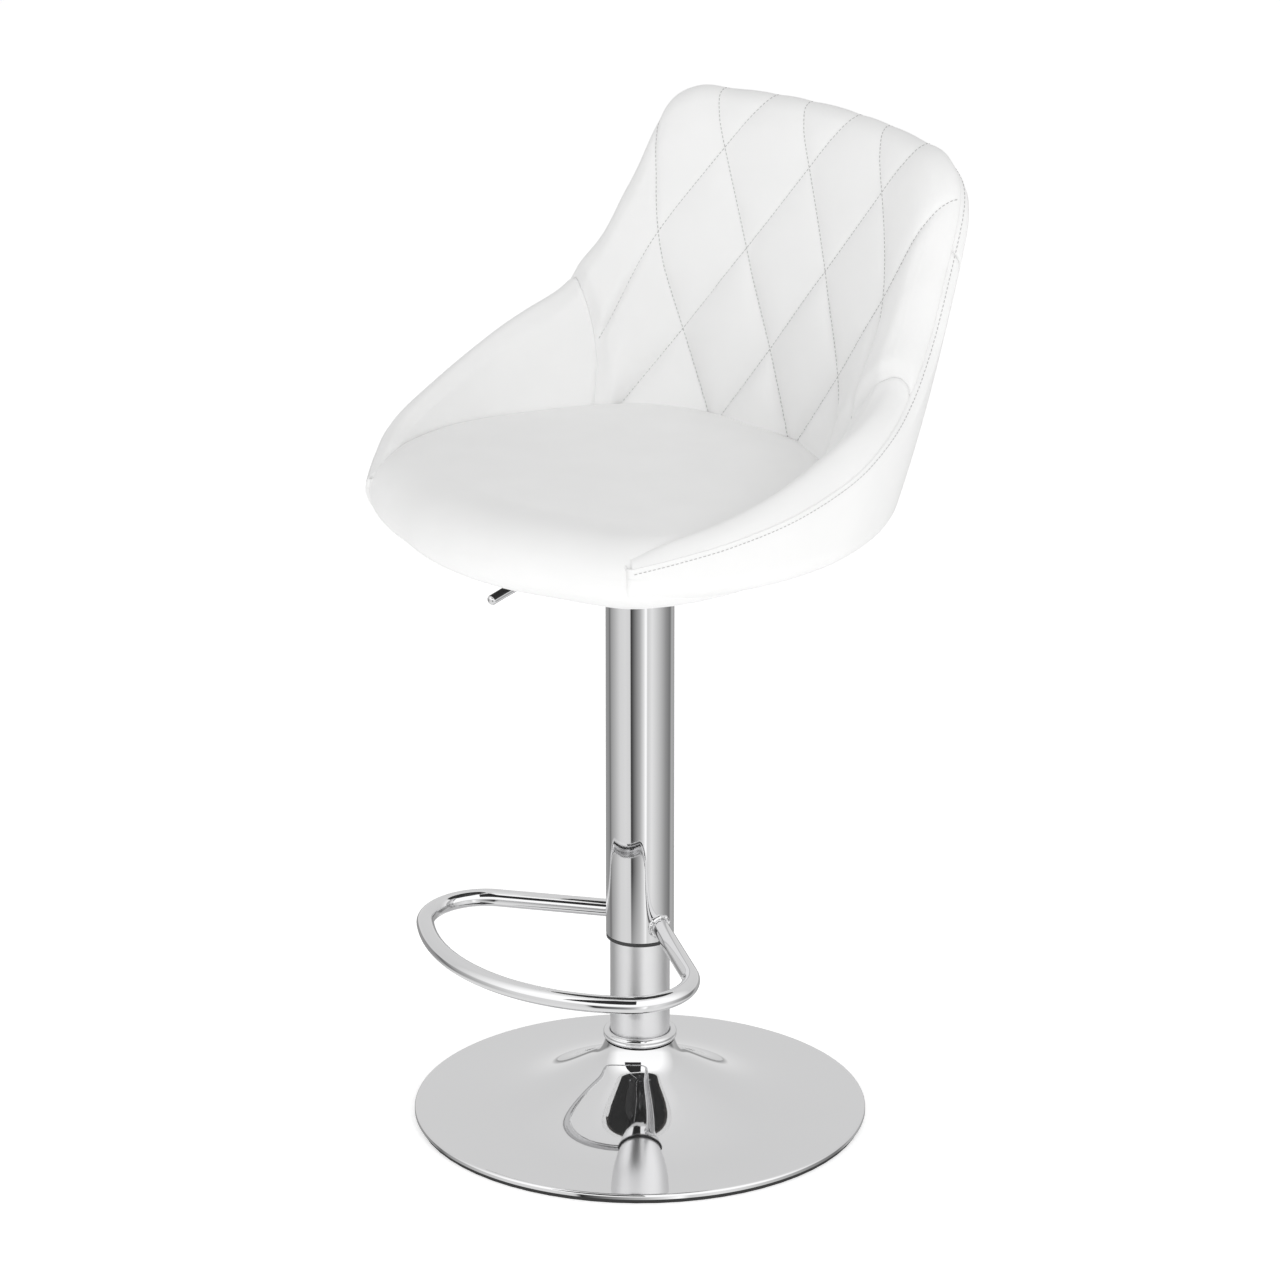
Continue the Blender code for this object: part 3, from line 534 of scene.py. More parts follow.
def rings(angle, side, over):
    """A unit circle at each of many places, from two directions across the line there."""
    return np.cos(angle)[:, None] * side[:, None] + np.sin(angle)[:, None] * over[:, None]


def swept(name, line, radius, upright, around):
    """A round bar: at each point of the line, a circle across its direction. radius may
    change along the line, and the ends are closed by one face each."""
    ahead = unit(np.gradient(line, axis=0))
    side = unit(np.cross(ahead, upright))
    over = np.cross(side, ahead)
    angle = full_turn(around)
    radius = np.broadcast_to(radius, len(line))[:, None, None]
    points = line[:, None] + radius * rings(angle, side, over)
    return outward(put_mesh(name, points, tube_faces(len(line), around)))


def weld_bead(name, side):
    """A bead round the joint: the arm's circle, slid along the arm to the column's surface,
    thickened to a ring whose size ripples a little.

    How far each point slides is the t that solves a t^2 + 2 b t + c = 0, where the point
    meets the sliding tube's radius. The size is the bead's radius times one plus two sines,
    with nine and seventeen ripples round the ring.
    """
    turn = full_turn(BEAD_STEPS[0])
    step = unit(np.array([*ARM_DIRECTION, REST_DROOP * ARM_DIRECTION[1]]))
    across = unit(np.cross(step, [0.0, 0.0, 1.0]))
    over = np.cross(across, step)
    start = np.array([*ARM_START, REST_HEIGHT + REST_DROOP * ARM_START[1]])
    reach = REST_RADIUS + BEAD_RISE
    ring = start + reach * (np.cos(turn)[:, None] * across + np.sin(turn)[:, None] * over)
    a = (step[:2] ** 2).sum()
    b = ring[:, :2] @ step[:2]
    c = (ring[:, :2] ** 2).sum(1) - SLIDING_TUBE[0] ** 2
    ring = ring + ((-b + np.sqrt(b**2 - a * c)) / a)[:, None] * step
    along = unit(np.roll(ring, -1, 0) - np.roll(ring, 1, 0))
    away = unit(ring * [1, 1, 0])
    up = np.cross(along, away)
    around = full_turn(BEAD_STEPS[1])
    size = BEAD_RADIUS * (1 + 0.10 * np.sin(turn * 9) + 0.06 * np.sin(turn * 17 + 1))
    points = ring[:, None] + size[:, None, None] * rings(around, away, up)
    return outward(put_mesh(name, points * [side, 1, 1], quads(*BEAD_STEPS, True, True)))


plane_normal = unit(np.array([0.0, -REST_DROOP, 1.0]))
footrest = swept("footrest_bow", rest_line(), REST_RADIUS, plane_normal, 40)
dress(footrest, chrome, "seat", "chrome", "footrest")
for hand, side in (("right", 1), ("left", -1)):
    bead = weld_bead(f"weld_bead_{hand}", side)
    dress(bead, chrome, "seat", "chrome", f"footrest_collar_{hand}")

# ---- Height lever ----
# A bent and plated steel rod. Its hub turns on the pin under the seat, its tip shows at the
# front, and lifting it presses the gas lift's release pin.

LEVER_RADIUS = 0.0043
TIP_LENGTH, TIP_LEAST = 0.0030, 0.08  # how far the domed tip goes on, and its last girth as a share
# Centre line in the lever's upright plane: how far along Y, and height.
LEVER_KNOTS = (
    (0.002, 0.5100), (-0.034, 0.5100), (-0.070, 0.5112), (-0.105, 0.5129),
    (-0.132, 0.5130), (-0.150, 0.5102), (-0.168, 0.5064),
)


def curve_through(knots, places):
    """A Catmull-Rom curve through the knots, read at fractional knot numbers."""
    knots = np.asarray(knots, float)
    padded = np.vstack([2 * knots[0] - knots[1], knots, 2 * knots[-1] - knots[-2]])
    index = np.clip(np.floor(places).astype(int), 0, len(knots) - 2)
    t = (places - index)[:, None]
    p0, p1, p2, p3 = (padded[index + k] for k in range(4))
    bend, twist = 2 * p0 - 5 * p1 + 4 * p2 - p3, 3 * p1 - p0 - 3 * p2 + p3
    return 0.5 * (2 * p1 + (p2 - p0) * t + bend * t**2 + twist * t**3)


def lever_line():
    """The lever's centre line and its radius at each point. The tip is a dome: it goes on by
    TIP_LENGTH sin a while the radius shrinks by cos a."""
    line = curve_through(LEVER_KNOTS, np.linspace(0, len(LEVER_KNOTS) - 1, 90))
    line = np.column_stack([np.zeros(len(line)), line])
    beyond = unit(line[-1] - line[-2])
    dome = np.linspace(0.0, math.pi / 2, 8)[1:]
    line = np.vstack([line, line[-1] + beyond * (TIP_LENGTH * np.sin(dome))[:, None]])
    girth = np.full(len(line), LEVER_RADIUS)
    girth[-len(dome):] = LEVER_RADIUS * np.maximum(np.cos(dome), TIP_LEAST)
    return line, girth


lever = swept("height_lever", *lever_line(), np.array([1.0, 0.0, 0.0]), 32)
dress(lever, chrome, "lever", "chrome", "lever_rod")

# ---- Bucket seat: its wall ----
# The back and wings are one bent plywood shell, padded with foam. White synthetic leather
# covers it in panels: a quilted one inside the back, a plain one inside each wing, and three
# outside, all sewn together along the edge of the seat and stapled under the board.

HEM = 0.5268
# Right half, from the middle of the back to the front corner: hem (x, y), rim (x, y, z).
COLUMNS = np.array((
    (0.000, 0.171, 0.000, 0.243, 0.842), (0.050, 0.169, 0.055, 0.241, 0.841),
    (0.098, 0.161, 0.105, 0.234, 0.838), (0.134, 0.147, 0.150, 0.222, 0.834),
    (0.156, 0.130, 0.179, 0.206, 0.808), (0.170, 0.114, 0.193, 0.172, 0.744),
    (0.180, 0.097, 0.202, 0.144, 0.698), (0.189, 0.078, 0.214, 0.108, 0.663),
    (0.199, 0.048, 0.224, 0.066, 0.641), (0.206, 0.014, 0.228, 0.020, 0.621),
    (0.205, -0.036, 0.222, -0.039, 0.603), (0.192, -0.090, 0.206, -0.094, 0.590),
    (0.171, -0.131, 0.181, -0.134, 0.579), (0.152, -0.157, 0.159, -0.162, 0.571),
))
LAST = len(COLUMNS) - 1
# Section of the rolled edge, in millimetres (depth behind the outer face, height over the
# rim), at the columns listed: seam, outer shoulder, top, inner shoulder, start of the inside.
ROLL_COLUMNS = (0, 3, 5, 7, 8, 9, 10, 11, 12, 13)
ROLL = np.array((
    ((5, -8), (8, -1), (14, 1), (24, -5), (31, -25)),
    ((8, -5), (11, 0), (16, 1), (26, -5), (33, -25)),
    ((9, -2), (12, 1), (17, 2), (27, -4), (35, -22)),
    ((8, -2), (11, 3), (17, 6), (26, 4), (36, -12)),
    ((4, -1), (8, 5), (16, 10), (25, 11), (34, -3)),
    ((2, 0), (6, 5), (15, 12), (25, 16), (34, 6)),
    ((1, 0), (6, 5), (14, 11), (22, 13), (28, 4)),
    ((1, 0), (5, 5), (12, 9), (20, 10), (24, 2)),
    ((1, 0), (5, 4), (11, 8), (17, 9), (21, 2)),
    ((1, 0), (4, 3), (9, 5), (14, 4), (18, -1)),
)) / 1000
# Depth of the inside face where it meets the cushion, in millimetres, column by column.
FOOT_DEPTH = np.array((45, 46, 48, 52, 56, 60, 61, 60, 55, 47, 31, 25, 22, 20)) / 1000
FOOT_LEVEL = 0.570
UNDER_ROUND = 0.038  # radius that the upholstery turns under the seat with
WALL_BOW = 0.004
WALL_MEASURE = 0.6  # share of the height at which the wall's run is measured
QUILT_EDGE = (6.9, 5.75)  # column of the quilted panel's side seam, at the rim and the foot
QUILT_SLANT = 1.3  # the seam slants over the first 1 / 1.3 of the rows
# Where the roll's points, the middle and the foot lie along a row, and how softly they blend.
INSIDE_KNOTS = (0, 0.02, 0.045, 0.075, 0.12, 0.20, 0.59, 1.0)
INSIDE_SOFTNESS = 0.020
INSIDE_BOW = 0.02
ROLL_TUCK = (0.0022, -0.0060)  # the roll starts this much behind and under its seam
EASE = 0.95
EASE_START, EASE_SPAN = 0.06, 0.22  # shares of a row where the easing starts and grows
WALL_COLUMNS, WALL_ROWS = 781, 150
PAD_FOOT_DEPTH, PAD_LEAN, PAD_TOP_GAP, PAD_ROWS = 0.0165, 0.0085, 0.010, 8


def hem_and_rim(u):
    """Hem and rim points at signed column numbers. They are read by a Catmull-Rom curve that
    runs on smoothly through the middle of the back."""
    full = np.vstack([COLUMNS[:0:-1] * [-1, 1, -1, 1, 1], COLUMNS])
    read = curve_through(full, np.clip(u + LAST, 0, 2 * LAST))
    return np.column_stack([read[:, :2], np.full(len(u), HEM)]), read[:, 2:]


def wall(u, depth, height):
    """Points of the wall at signed columns u (n,), for arrays of depth and height (n, rows).

    A point lies height along the column's line from hem to rim, and depth inward from it.
    """
    hem, rim = hem_and_rim(u)
    up = unit(rim - hem)
    run = unit(np.gradient((1 - WALL_MEASURE) * hem + WALL_MEASURE * rim, u, axis=0))
    out = unit(np.cross(run, up))
    out *= np.sign((out[:, :2] * rim[:, :2]).sum(1, keepdims=True))
    return hem[:, None] + up[:, None] * height[..., None] - out[:, None] * depth[..., None]


def wall_height(u):
    """Length of each column from hem to rim."""
    hem, rim = hem_and_rim(u)
    return np.linalg.norm(rim - hem, axis=1)


def roll_at(u):
    """The rolled edge's five (depth, height) points at each column, and the foot's depth."""
    side = np.abs(u)
    nearest = np.interp(side, ROLL_COLUMNS, np.arange(len(ROLL_COLUMNS)))
    roll = curve_through(ROLL.reshape(len(ROLL), -1), nearest).reshape(-1, 5, 2)
    foot = curve_through(FOOT_DEPTH[:, None], side)[:, 0]
    return roll, foot


def smooth_blend(knots, rows, width):
    """Weights [rows, knots] of a line through control points, softened by a bell of width.

    Each control point's share is a triangle between its neighbours, blurred along the line,
    with both ends held.
    """
    t = np.linspace(0.0, 1.0, rows)
    hats = np.stack([np.interp(t, knots, row) for row in np.eye(len(knots))], -1)
    reach = np.minimum(width, np.minimum(t, 1 - t) / 2 + 1e-6)
    blur = np.exp(-0.5 * ((t[:, None] - t) / reach[:, None]) ** 2)
    return (blur / blur.sum(1, keepdims=True)) @ hats


def raw_inside(u, rows):
    """Inside of the wall, from the edge seam over the roll and down to the foot.

    Between them it bows towards the sitter, by INSIDE_BOW of that stretch's height.
    """
    roll, foot = roll_at(u)
    top = np.stack([np.zeros(len(u)), wall_height(u)], -1)
    base = FOOT_LEVEL - HEM
    low = np.stack([foot, np.full(len(u), base)], -1)
    start = roll[:, 4] + top
    middle = 0.5 * (low + start)
    middle[:, 0] += INSIDE_BOW * np.maximum(start[:, 1] - base, 0)
    edge = np.concatenate([roll[:, :1] + ROLL_TUCK, roll], 1) + top[:, None]
    controls = np.concatenate([edge, middle[:, None], low[:, None]], 1)
    weights = smooth_blend(INSIDE_KNOTS, rows, INSIDE_SOFTNESS)
    line = np.einsum("rk,ukc->urc", weights, controls)
    return wall(u, line[..., 0], line[..., 1])


def eased_inside():
    """The whole inside face, with its rows averaged along the wall below the roll.

    Each point becomes a bell-weighted mean of its row. The bell is EASE columns wide and
    narrows towards the two front ends, and its share grows down the wall.
    """
    u = np.linspace(-LAST, LAST, WALL_COLUMNS)
    face = raw_inside(u, WALL_ROWS)
    reach = np.maximum(np.minimum(EASE, (LAST - np.abs(u)) / 3), 0.02)
    blur = np.exp(-0.5 * ((u[:, None] - u) / reach[:, None]) ** 2)
    blur /= blur.sum(1, keepdims=True)
    share = np.clip((np.linspace(0.0, 1.0, WALL_ROWS) - EASE_START) / EASE_SPAN, 0.0, 1.0)
    share = (share * share * (3 - 2 * share))[:, None]
    return face * (1 - share) + np.einsum("ab,brc->arc", blur, face) * share


WHOLE_INSIDE = eased_inside()


def inside_at(columns):
    """The inside face read at column numbers [n, WALL_ROWS], by blending two neighbours."""
    place = (columns + LAST) / (2 * LAST) * (WALL_COLUMNS - 1)
    index = np.clip(np.floor(place).astype(int), 0, WALL_COLUMNS - 2)
    blend = (place - index)[..., None]
    rows = np.arange(WALL_ROWS)
    return WHOLE_INSIDE[index, rows] * (1 - blend) + WHOLE_INSIDE[index + 1, rows] * blend


def quilt_seam():
    """Column of the quilted panel's side seam in each row. It slants, then drops straight."""
    share = np.clip(np.linspace(0.0, QUILT_SLANT, WALL_ROWS), 0, 1)
    return QUILT_EDGE[0] + (QUILT_EDGE[1] - QUILT_EDGE[0]) * share


def surface_normal(points):
    """Unit normals of a grid of points, by the cross product of its two directions."""
    return unit(np.cross(np.gradient(points, axis=0), np.gradient(points, axis=1)))


def inner_normal(points, axis):
    """Normals of a grid that lies at the positive side of an axis, turned towards zero of it
    at the grid's middle. The rear and right faces are seen from inside the seat this way."""
    normal = surface_normal(points)
    middle = normal[len(normal) // (2 if axis else 3), normal.shape[1] // 2, axis]
    return normal if middle < 0 else -normal


def bell(distance, width):
    """A bell curve: one at zero, fading over the width."""
    return np.exp(-((distance / width) ** 2))


def length_along(points, axis):
    """Distance along each line of a grid from its first point, in one of its directions."""
    steps = np.linalg.norm(np.diff(points, axis=axis), axis=2)
    return np.insert(np.cumsum(steps, axis), 0, 0.0, axis)


def pad_between(name, u, front):
    """A closed pad: its front face, and a plain rear face that lies inside the wall."""
    rise = np.linspace(0.0, 1.0, PAD_ROWS)
    depth = PAD_FOOT_DEPTH - PAD_LEAN * rise * np.ones((len(u), 1))
    low, high = FOOT_LEVEL - HEM, wall_height(u)[:, None] - PAD_TOP_GAP
    points = np.concatenate([front, wall(u, depth, low + (high - low) * rise)], 1)
    return outward(put_mesh(name, points, tube_faces(len(u), points.shape[1])))


# White synthetic leather: fine pebbled grain that swells and fades in slow patches.
grain_group, grain_in, grain_out = shader_group(
    "leather_grain", [("Pebble Scale", 1100.0), ("Patch Scale", 22.0)],
    [("Height", "NodeSocketFloat"), ("Patch", "NodeSocketFloat")],
)
where = grain_group.nodes.new("ShaderNodeTexCoord").outputs["Object"]
pebble = texture(grain_group, "ShaderNodeTexVoronoi", where, grain_in.outputs["Pebble Scale"])
patch = texture(grain_group, "ShaderNodeTexNoise", where, grain_in.outputs["Patch Scale"], Detail=5.0)
crinkle = texture(grain_group, "ShaderNodeTexNoise", where, 260.0, Detail=3.0)
raised = math_node(grain_group, "MULTIPLY", pebble.outputs["Distance"], patch.outputs[0])
raised = math_node(grain_group, "ADD", raised, crinkle.outputs[0])
link(grain_group, raised, grain_out.inputs["Height"])
link(grain_group, patch.outputs[0], grain_out.inputs["Patch"])


def leather_finish(name, colour, shade, bump):
    """Grained synthetic leather, a little darker and duller in patches."""
    made, nodes, shader = new_material(name)
    shader.inputs["Specular IOR Level"].default_value = 0.35
    skin = group_node(nodes, grain_group, Pebble_Scale=1100.0, Patch_Scale=22.0)
    drift(nodes, skin.outputs["Patch"], colour, shade, shader)
    link(nodes, map_range(nodes, skin.outputs["Patch"], 0.36, 0.50), shader.inputs["Roughness"])
    emboss(nodes, skin.outputs["Height"], bump, 0.0003, shader)
    return made


leather = leather_finish("white_leather", (0.88, 0.88, 0.877), (0.84, 0.84, 0.836), 0.18)
thread = finish(
    "sewing_thread", (0.52, 0.52, 0.515), (0.46, 0.46, 0.455), (0.55, 0.75),
    metallic=0.0, cloud_scale=60.0, grain_scale=3000.0, bump=0.3,
)

# ---- Quilted back panel ----
# The padded panel inside the back. Foam is sewn through in a diamond lattice, so that each
# diamond swells between its stitched valleys, and the lattice fades out over the top edge.

DIAMOND_HALF_WIDTH = 0.0465
DIAMOND_HALF_HEIGHT = 0.0745
DIAMOND_LEVEL = 0.650  # height of one crossing on the middle line
PUFF_LOW, PUFF_HIGH = 0.0110, 0.0034
PUFF_REACH = 0.011
PUFF_LEVEL, PUFF_SPAN = 0.60, 0.17  # fullest up to this height, thinnest this far over it
TOP_FLAT, TOP_GROWTH = 0.004, 0.030  # flat strip under the edge seam, and the puffs' growth below it
SIDE_FLAT = 0.010
SIDE_DIP, EDGE_DIP = (0.0012, 0.0020), (0.0014, 0.0025)  # depth and width of the dip at a seam
SEWN_P, SEWN_Q = (-2, 1), (-1, 2)  # first and last sewn line of each family
LINE_SPACING = 1 / (0.5 * math.hypot(1 / DIAMOND_HALF_WIDTH, 1 / DIAMOND_HALF_HEIGHT))
BACK_COLUMNS = 321


def lattice(points):
    """Diamond coordinates of a grid on the back: (p, q), whole along the sewn lines.

    s is the length along the row from the middle, and z the height. a = s / half width
    and b = (z - level) / half height give p = (a - b) / 2 and q = (a + b) / 2.
    """
    s = length_along(points, 0)
    s = s - s[len(s) // 2]
    a = s / DIAMOND_HALF_WIDTH
    b = (points[..., 2] - DIAMOND_LEVEL) / DIAMOND_HALF_HEIGHT
    return (a - b) / 2, (a + b) / 2


def puffed(base, p, q):
    """The quilted face: base, lifted by 1 - exp(-d / PUFF_REACH) for the distance d to the
    nearest sewn line of each family, less the dips at its seams."""
    gap_p = np.abs(p - np.clip(np.round(p), *SEWN_P)) * LINE_SPACING
    gap_q = np.abs(q - np.clip(np.round(q), *SEWN_Q)) * LINE_SPACING
    swell = (1 - np.exp(-gap_p / PUFF_REACH)) * (1 - np.exp(-gap_q / PUFF_REACH))
    height = np.clip((base[..., 2] - PUFF_LEVEL) / PUFF_SPAN, 0.0, 1.0)
    amount = PUFF_LOW + (PUFF_HIGH - PUFF_LOW) * height
    from_edge = length_along(base, 1)
    amount = amount * np.clip((from_edge - TOP_FLAT) / TOP_GROWTH, 0.0, 1.0)
    from_left = length_along(base, 0)
    from_side = np.minimum(from_left, from_left[-1] - from_left)
    lift = swell * amount * (1 - bell(from_side, SIDE_FLAT))
    lift = lift - SIDE_DIP[0] * bell(from_side, SIDE_DIP[1]) - EDGE_DIP[0] * bell(from_edge, EDGE_DIP[1])
    return base + inner_normal(base, 1) * lift[..., None]


back_base = inside_at(np.linspace(-1.0, 1.0, BACK_COLUMNS)[:, None] * quilt_seam())
diamond_p, diamond_q = lattice(back_base)
back_front = puffed(back_base, diamond_p, diamond_q)
back_pad = pad_between("quilted_back", np.linspace(-QUILT_EDGE[0], QUILT_EDGE[0], BACK_COLUMNS), back_front)
dress(back_pad, leather, "seat", "white_leather", "back_pad")

# ---- Wings ----
# The plain padded panels inside each side of the bucket. They run from the quilted panel's
# slanted seam to the front corner, where the edge thins out into the nose of the seat.

WING_COLUMNS = 220


def wing_face():
    """The right wing's columns and face, from the slanted seam forward, dipping at its seams."""
    seam = quilt_seam()
    points = inside_at(seam + (LAST - seam) * np.linspace(0.0, 1.0, WING_COLUMNS)[:, None])
    dip = SIDE_DIP[0] * bell(length_along(points, 0), SIDE_DIP[1])
    dip = dip + EDGE_DIP[0] * bell(length_along(points, 1), EDGE_DIP[1])
    face = points - inner_normal(points, 0) * dip[..., None]
    return np.linspace(QUILT_EDGE[0], LAST, WING_COLUMNS), face


wing_u, wing_front = wing_face()
for hand, side in (("right", 1), ("left", -1)):
    wing = pad_between(f"wing_{hand}", wing_u, wing_front)
    if side < 0:
        wing.data.transform(Matrix.Scale(-1, 4, Vector((1, 0, 0))))
        outward(wing)
    dress(wing, leather, "seat", "white_leather", f"wing_pad_{hand}")

# ---- Outer covers ----
# Three panels of the same leather stretched over thin foam outside the shell: one behind and
# one at each side. They meet the inside panels at the edge seam and turn under the board.

REAR_SEAM = 4.6  # column where the rear panel meets the side panels
COVER_ROWS, COVER_BEND_ROWS = 90, 26
REAR_COLUMNS, SIDE_COLUMNS = 200, 220
UNDER_TUCK = (0.007, 0.003)  # how far the sheet goes on under the board, past its quarter round
UNDER_GAP = 0.0003
EDGE_TURN = 0.012  # last stretch of the height, in which the sheet turns in to the edge seam
ROLL_REACH = ((0.0020, 0.0003), (0.0045, -0.0010))  # (depth, height) steps in under the roll
RETURN_BEND, RETURN_DEPTH = 0.0040, 0.0150  # how the side panels end at the front corners
COVER_THICKNESS = 0.0015
COVER_SIDE_DIP, COVER_EDGE_DIP = (0.0006, 0.003), (0.0012, 0.0025)  # depth and width
SEAT_MIDDLE = np.array([0.0, 0.0, 0.65])


def outside_face(u, rows):
    """Outside of the wall: a quarter round under the seat, the bowed side, and the edge.

    For the first part the height is R (1 - cos a) and the depth is R (1 - sin a).
    """
    seam = roll_at(u)[0][:, 0]
    top = wall_height(u)
    radius = np.minimum(UNDER_ROUND, top * 0.9)[:, None]
    bend = np.linspace(0.0, math.pi / 2, COVER_BEND_ROWS)
    arc_height = np.concatenate([np.full((len(u), 2), UNDER_GAP), radius * (1 - np.cos(bend))], 1)
    arc_depth = np.concatenate([radius + UNDER_TUCK, radius * (1 - np.sin(bend))], 1)
    count = rows - arc_height.shape[1] - len(ROLL_REACH)
    end = (top + seam[:, 1])[:, None]
    side_height = radius + (end - radius) * np.linspace(0.0, 1.0, count + 1)[1:]
    turned = np.clip((side_height - (end - EDGE_TURN)) / EDGE_TURN, 0.0, 1.0)
    side_depth = seam[:, :1] * turned**2
    reach_depth, reach_height = np.transpose(ROLL_REACH)
    height = np.concatenate([arc_height, side_height, side_height[:, -1:] + reach_height], 1)
    depth = np.concatenate([arc_depth, side_depth, side_depth[:, -1:] + reach_depth], 1)
    part = np.clip(height / top[:, None], 0.0, 1.0)
    return wall(u, depth - WALL_BOW * 4 * part * (1 - part), height)


def turn_in(points, side):
    """Bends a panel's front end into the seat: a quarter circle, then a straight return.

    Points go on from the end by R sin a along the panel and R (1 - cos a) across it.
    """
    end, before = (points[-1], points[-3]) if side > 0 else (points[0], points[2])
    ahead = unit((end - before) * [1, 1, 0])
    inward = np.stack([ahead[:, 1], -ahead[:, 0], ahead[:, 2]], -1)
    inward *= -np.sign((inward[:, :2] * end[:, :2]).sum(1, keepdims=True))
    angle = np.linspace(0.0, math.pi / 2, 9)[1:, None, None]
    bend = end + RETURN_BEND * (np.sin(angle) * ahead + (1 - np.cos(angle)) * inward)
    straight = bend[-1] + np.linspace(0.0, RETURN_DEPTH, 8)[1:, None, None] * inward
    added = np.concatenate([bend, straight])
    return np.concatenate([points, added]) if side > 0 else np.concatenate([added[::-1], points])


def outer_normal(points):
    """Normals of a grid outside the seat, turned away from its middle."""
    normal = surface_normal(points)
    return normal * np.sign((normal * (points - SEAT_MIDDLE)).sum())


def cover_panel(name, first, last, columns, *nodes):
    """One outer panel as a thin sheet, dipping a little at its edges."""
    points = outside_face(np.linspace(first, last, columns), COVER_ROWS)
    if first <= -LAST:
        points = turn_in(points, -1)
    if last >= LAST:
        points = turn_in(points, 1)
    run, rise = length_along(points, 0), length_along(points, 1)
    dip = COVER_SIDE_DIP[0] * bell(np.minimum(run, run[-1] - run), COVER_SIDE_DIP[1])
    dip = dip + COVER_EDGE_DIP[0] * bell(rise[:, -1:] - rise, COVER_EDGE_DIP[1])
    points = points - outer_normal(points) * dip[..., None]
    columns = len(points)
    made = put_mesh(name, points, quads(columns, COVER_ROWS))
    face = made.data.polygons[(columns // 2) * (COVER_ROWS - 1) + COVER_ROWS // 2]
    if np.dot(np.array(face.normal), np.array(face.center) - SEAT_MIDDLE) < 0:
        made.data.flip_normals()
    sheet = made.modifiers.new("thickness", "SOLIDIFY")
    sheet.thickness = COVER_THICKNESS
    sheet.offset = -1.0
    dress(made, leather, "seat", "white_leather", *nodes)
    return points


rear_face = cover_panel("rear_panel", -REAR_SEAM, REAR_SEAM, REAR_COLUMNS, "rear_cover")
side_face = cover_panel("side_panel_right", REAR_SEAM, LAST, SIDE_COLUMNS, "side_cover_right")
cover_panel("side_panel_left", -LAST, -REAR_SEAM, SIDE_COLUMNS, "side_cover_left")

# ---- Seat cushion ----
# A foam block on the board, covered in the same leather. It sits down inside the wall, and
# its front swells into a round nose between the two front corners.

CUSHION_TOP, CUSHION_WAIST, CUSHION_FOOT = 0.5935, 0.5600, HEM
CUSHION_CENTRE = np.array([0.0, -0.030])
CROWN_DROP, CROWN_RISE = 0.0040, 0.0045  # from the top down to the edge, and back up over it
FOOT_INSET = 0.036
EDGE_ROUND, NOSE_ROUND = 0.027, 0.009  # radius of the upper edge, and what the nose adds to it
NOSE_START, NOSE_SPAN = 0.120, 0.060  # how far forward the nose begins, and where it is whole
# A crease across the nose: its depth, and its place and width as shares of the way out.
CREASE_DEPTH, CREASE_PLACE, CREASE_WIDTH = 0.0012, 0.86, 0.06
# Right half of its outline where it is widest, from the back to the middle of the nose.
CUSHION_OUTLINE = np.array((
    (0.000, 0.149), (0.045, 0.147), (0.088, 0.136), (0.122, 0.113), (0.150, 0.075),
    (0.172, 0.028), (0.188, -0.020), (0.193, -0.060), (0.186, -0.104), (0.1735, -0.136),
    (0.1560, -0.1610), (0.129, -0.1765), (0.100, -0.1875), (0.052, -0.2040), (0.000, -0.2100),
))


def cushion_form(around=256, rows=64):
    """A closed, crowned form. Its outline is a closed curve round the seat, and each row
    shrinks it. The underside is a quarter round up to the waist, the edge another one over
    it, and the top rises by 1 - s^2.2, s being the share of the way out to the edge."""
    left = (CUSHION_OUTLINE * [-1, 1])[-2:0:-1]
    ring = np.vstack([CUSHION_OUTLINE, left])
    ring = np.vstack([ring, ring[:3]])
    line = curve_through(ring, np.linspace(1, len(ring) - 2, around, endpoint=False))
    reach = np.linalg.norm(line - CUSHION_CENTRE, axis=1)[:, None]
    front = np.clip((-line[:, 1:] - NOSE_START) / NOSE_SPAN, 0.0, 1.0)
    low = np.linspace(0.0, math.pi / 2, rows // 2)
    high = np.linspace(0.0, math.pi / 2, rows // 2 + 1)[1:]
    crown = CUSHION_TOP - CROWN_DROP
    under = CUSHION_WAIST - (CUSHION_WAIST - CUSHION_FOOT) * np.cos(low)
    over = CUSHION_WAIST + (crown - CUSHION_WAIST) * np.sin(high)
    under_inset = np.broadcast_to(FOOT_INSET * (1 - np.sin(low)), (around, len(low)))
    over_inset = (EDGE_ROUND + NOSE_ROUND * front) * (1 - np.cos(high))
    share = 1 - np.concatenate([under_inset, over_inset], 1) / reach
    inner = np.linspace(1.0, 0.0, 28)[1:-1]
    crease = CREASE_DEPTH * front * bell(inner - CREASE_PLACE, CREASE_WIDTH)
    dome = crown + CROWN_RISE * (1 - inner**2.2) - crease
    side = np.concatenate([under, over]) * np.ones((around, 1))
    height = np.concatenate([side, dome], 1)
    share = np.concatenate([share, share[:, -1:] * inner], 1)
    plan = CUSHION_CENTRE + (line - CUSHION_CENTRE)[:, None] * share[..., None]
    return np.concatenate([plan, height[..., None]], 2)


cushion_points = cushion_form()
around, rows = cushion_points.shape[:2]
faces = quads(around, rows, True, False)
faces.append([index * rows for index in range(around)][::-1])
faces.append([index * rows + rows - 1 for index in range(around)])
cushion = outward(put_mesh("seat_cushion_cover", cushion_points, faces))
dress(cushion, leather, "seat", "white_leather", "seat_cushion")

# ---- Stitching ----
# Polyester thread in a slightly greyer white. It runs in each valley of the quilting, and in
# two rows beside the edge seam on the outside.

STITCH_LENGTH = 0.0026
STITCH_PITCH = 0.0038
STITCH_RADIUS = 0.00038
STITCH_LIFT = 0.0001
EDGE_INSETS = (0.0022, 0.0085)  # of the two rows of stitches, from the edge seam


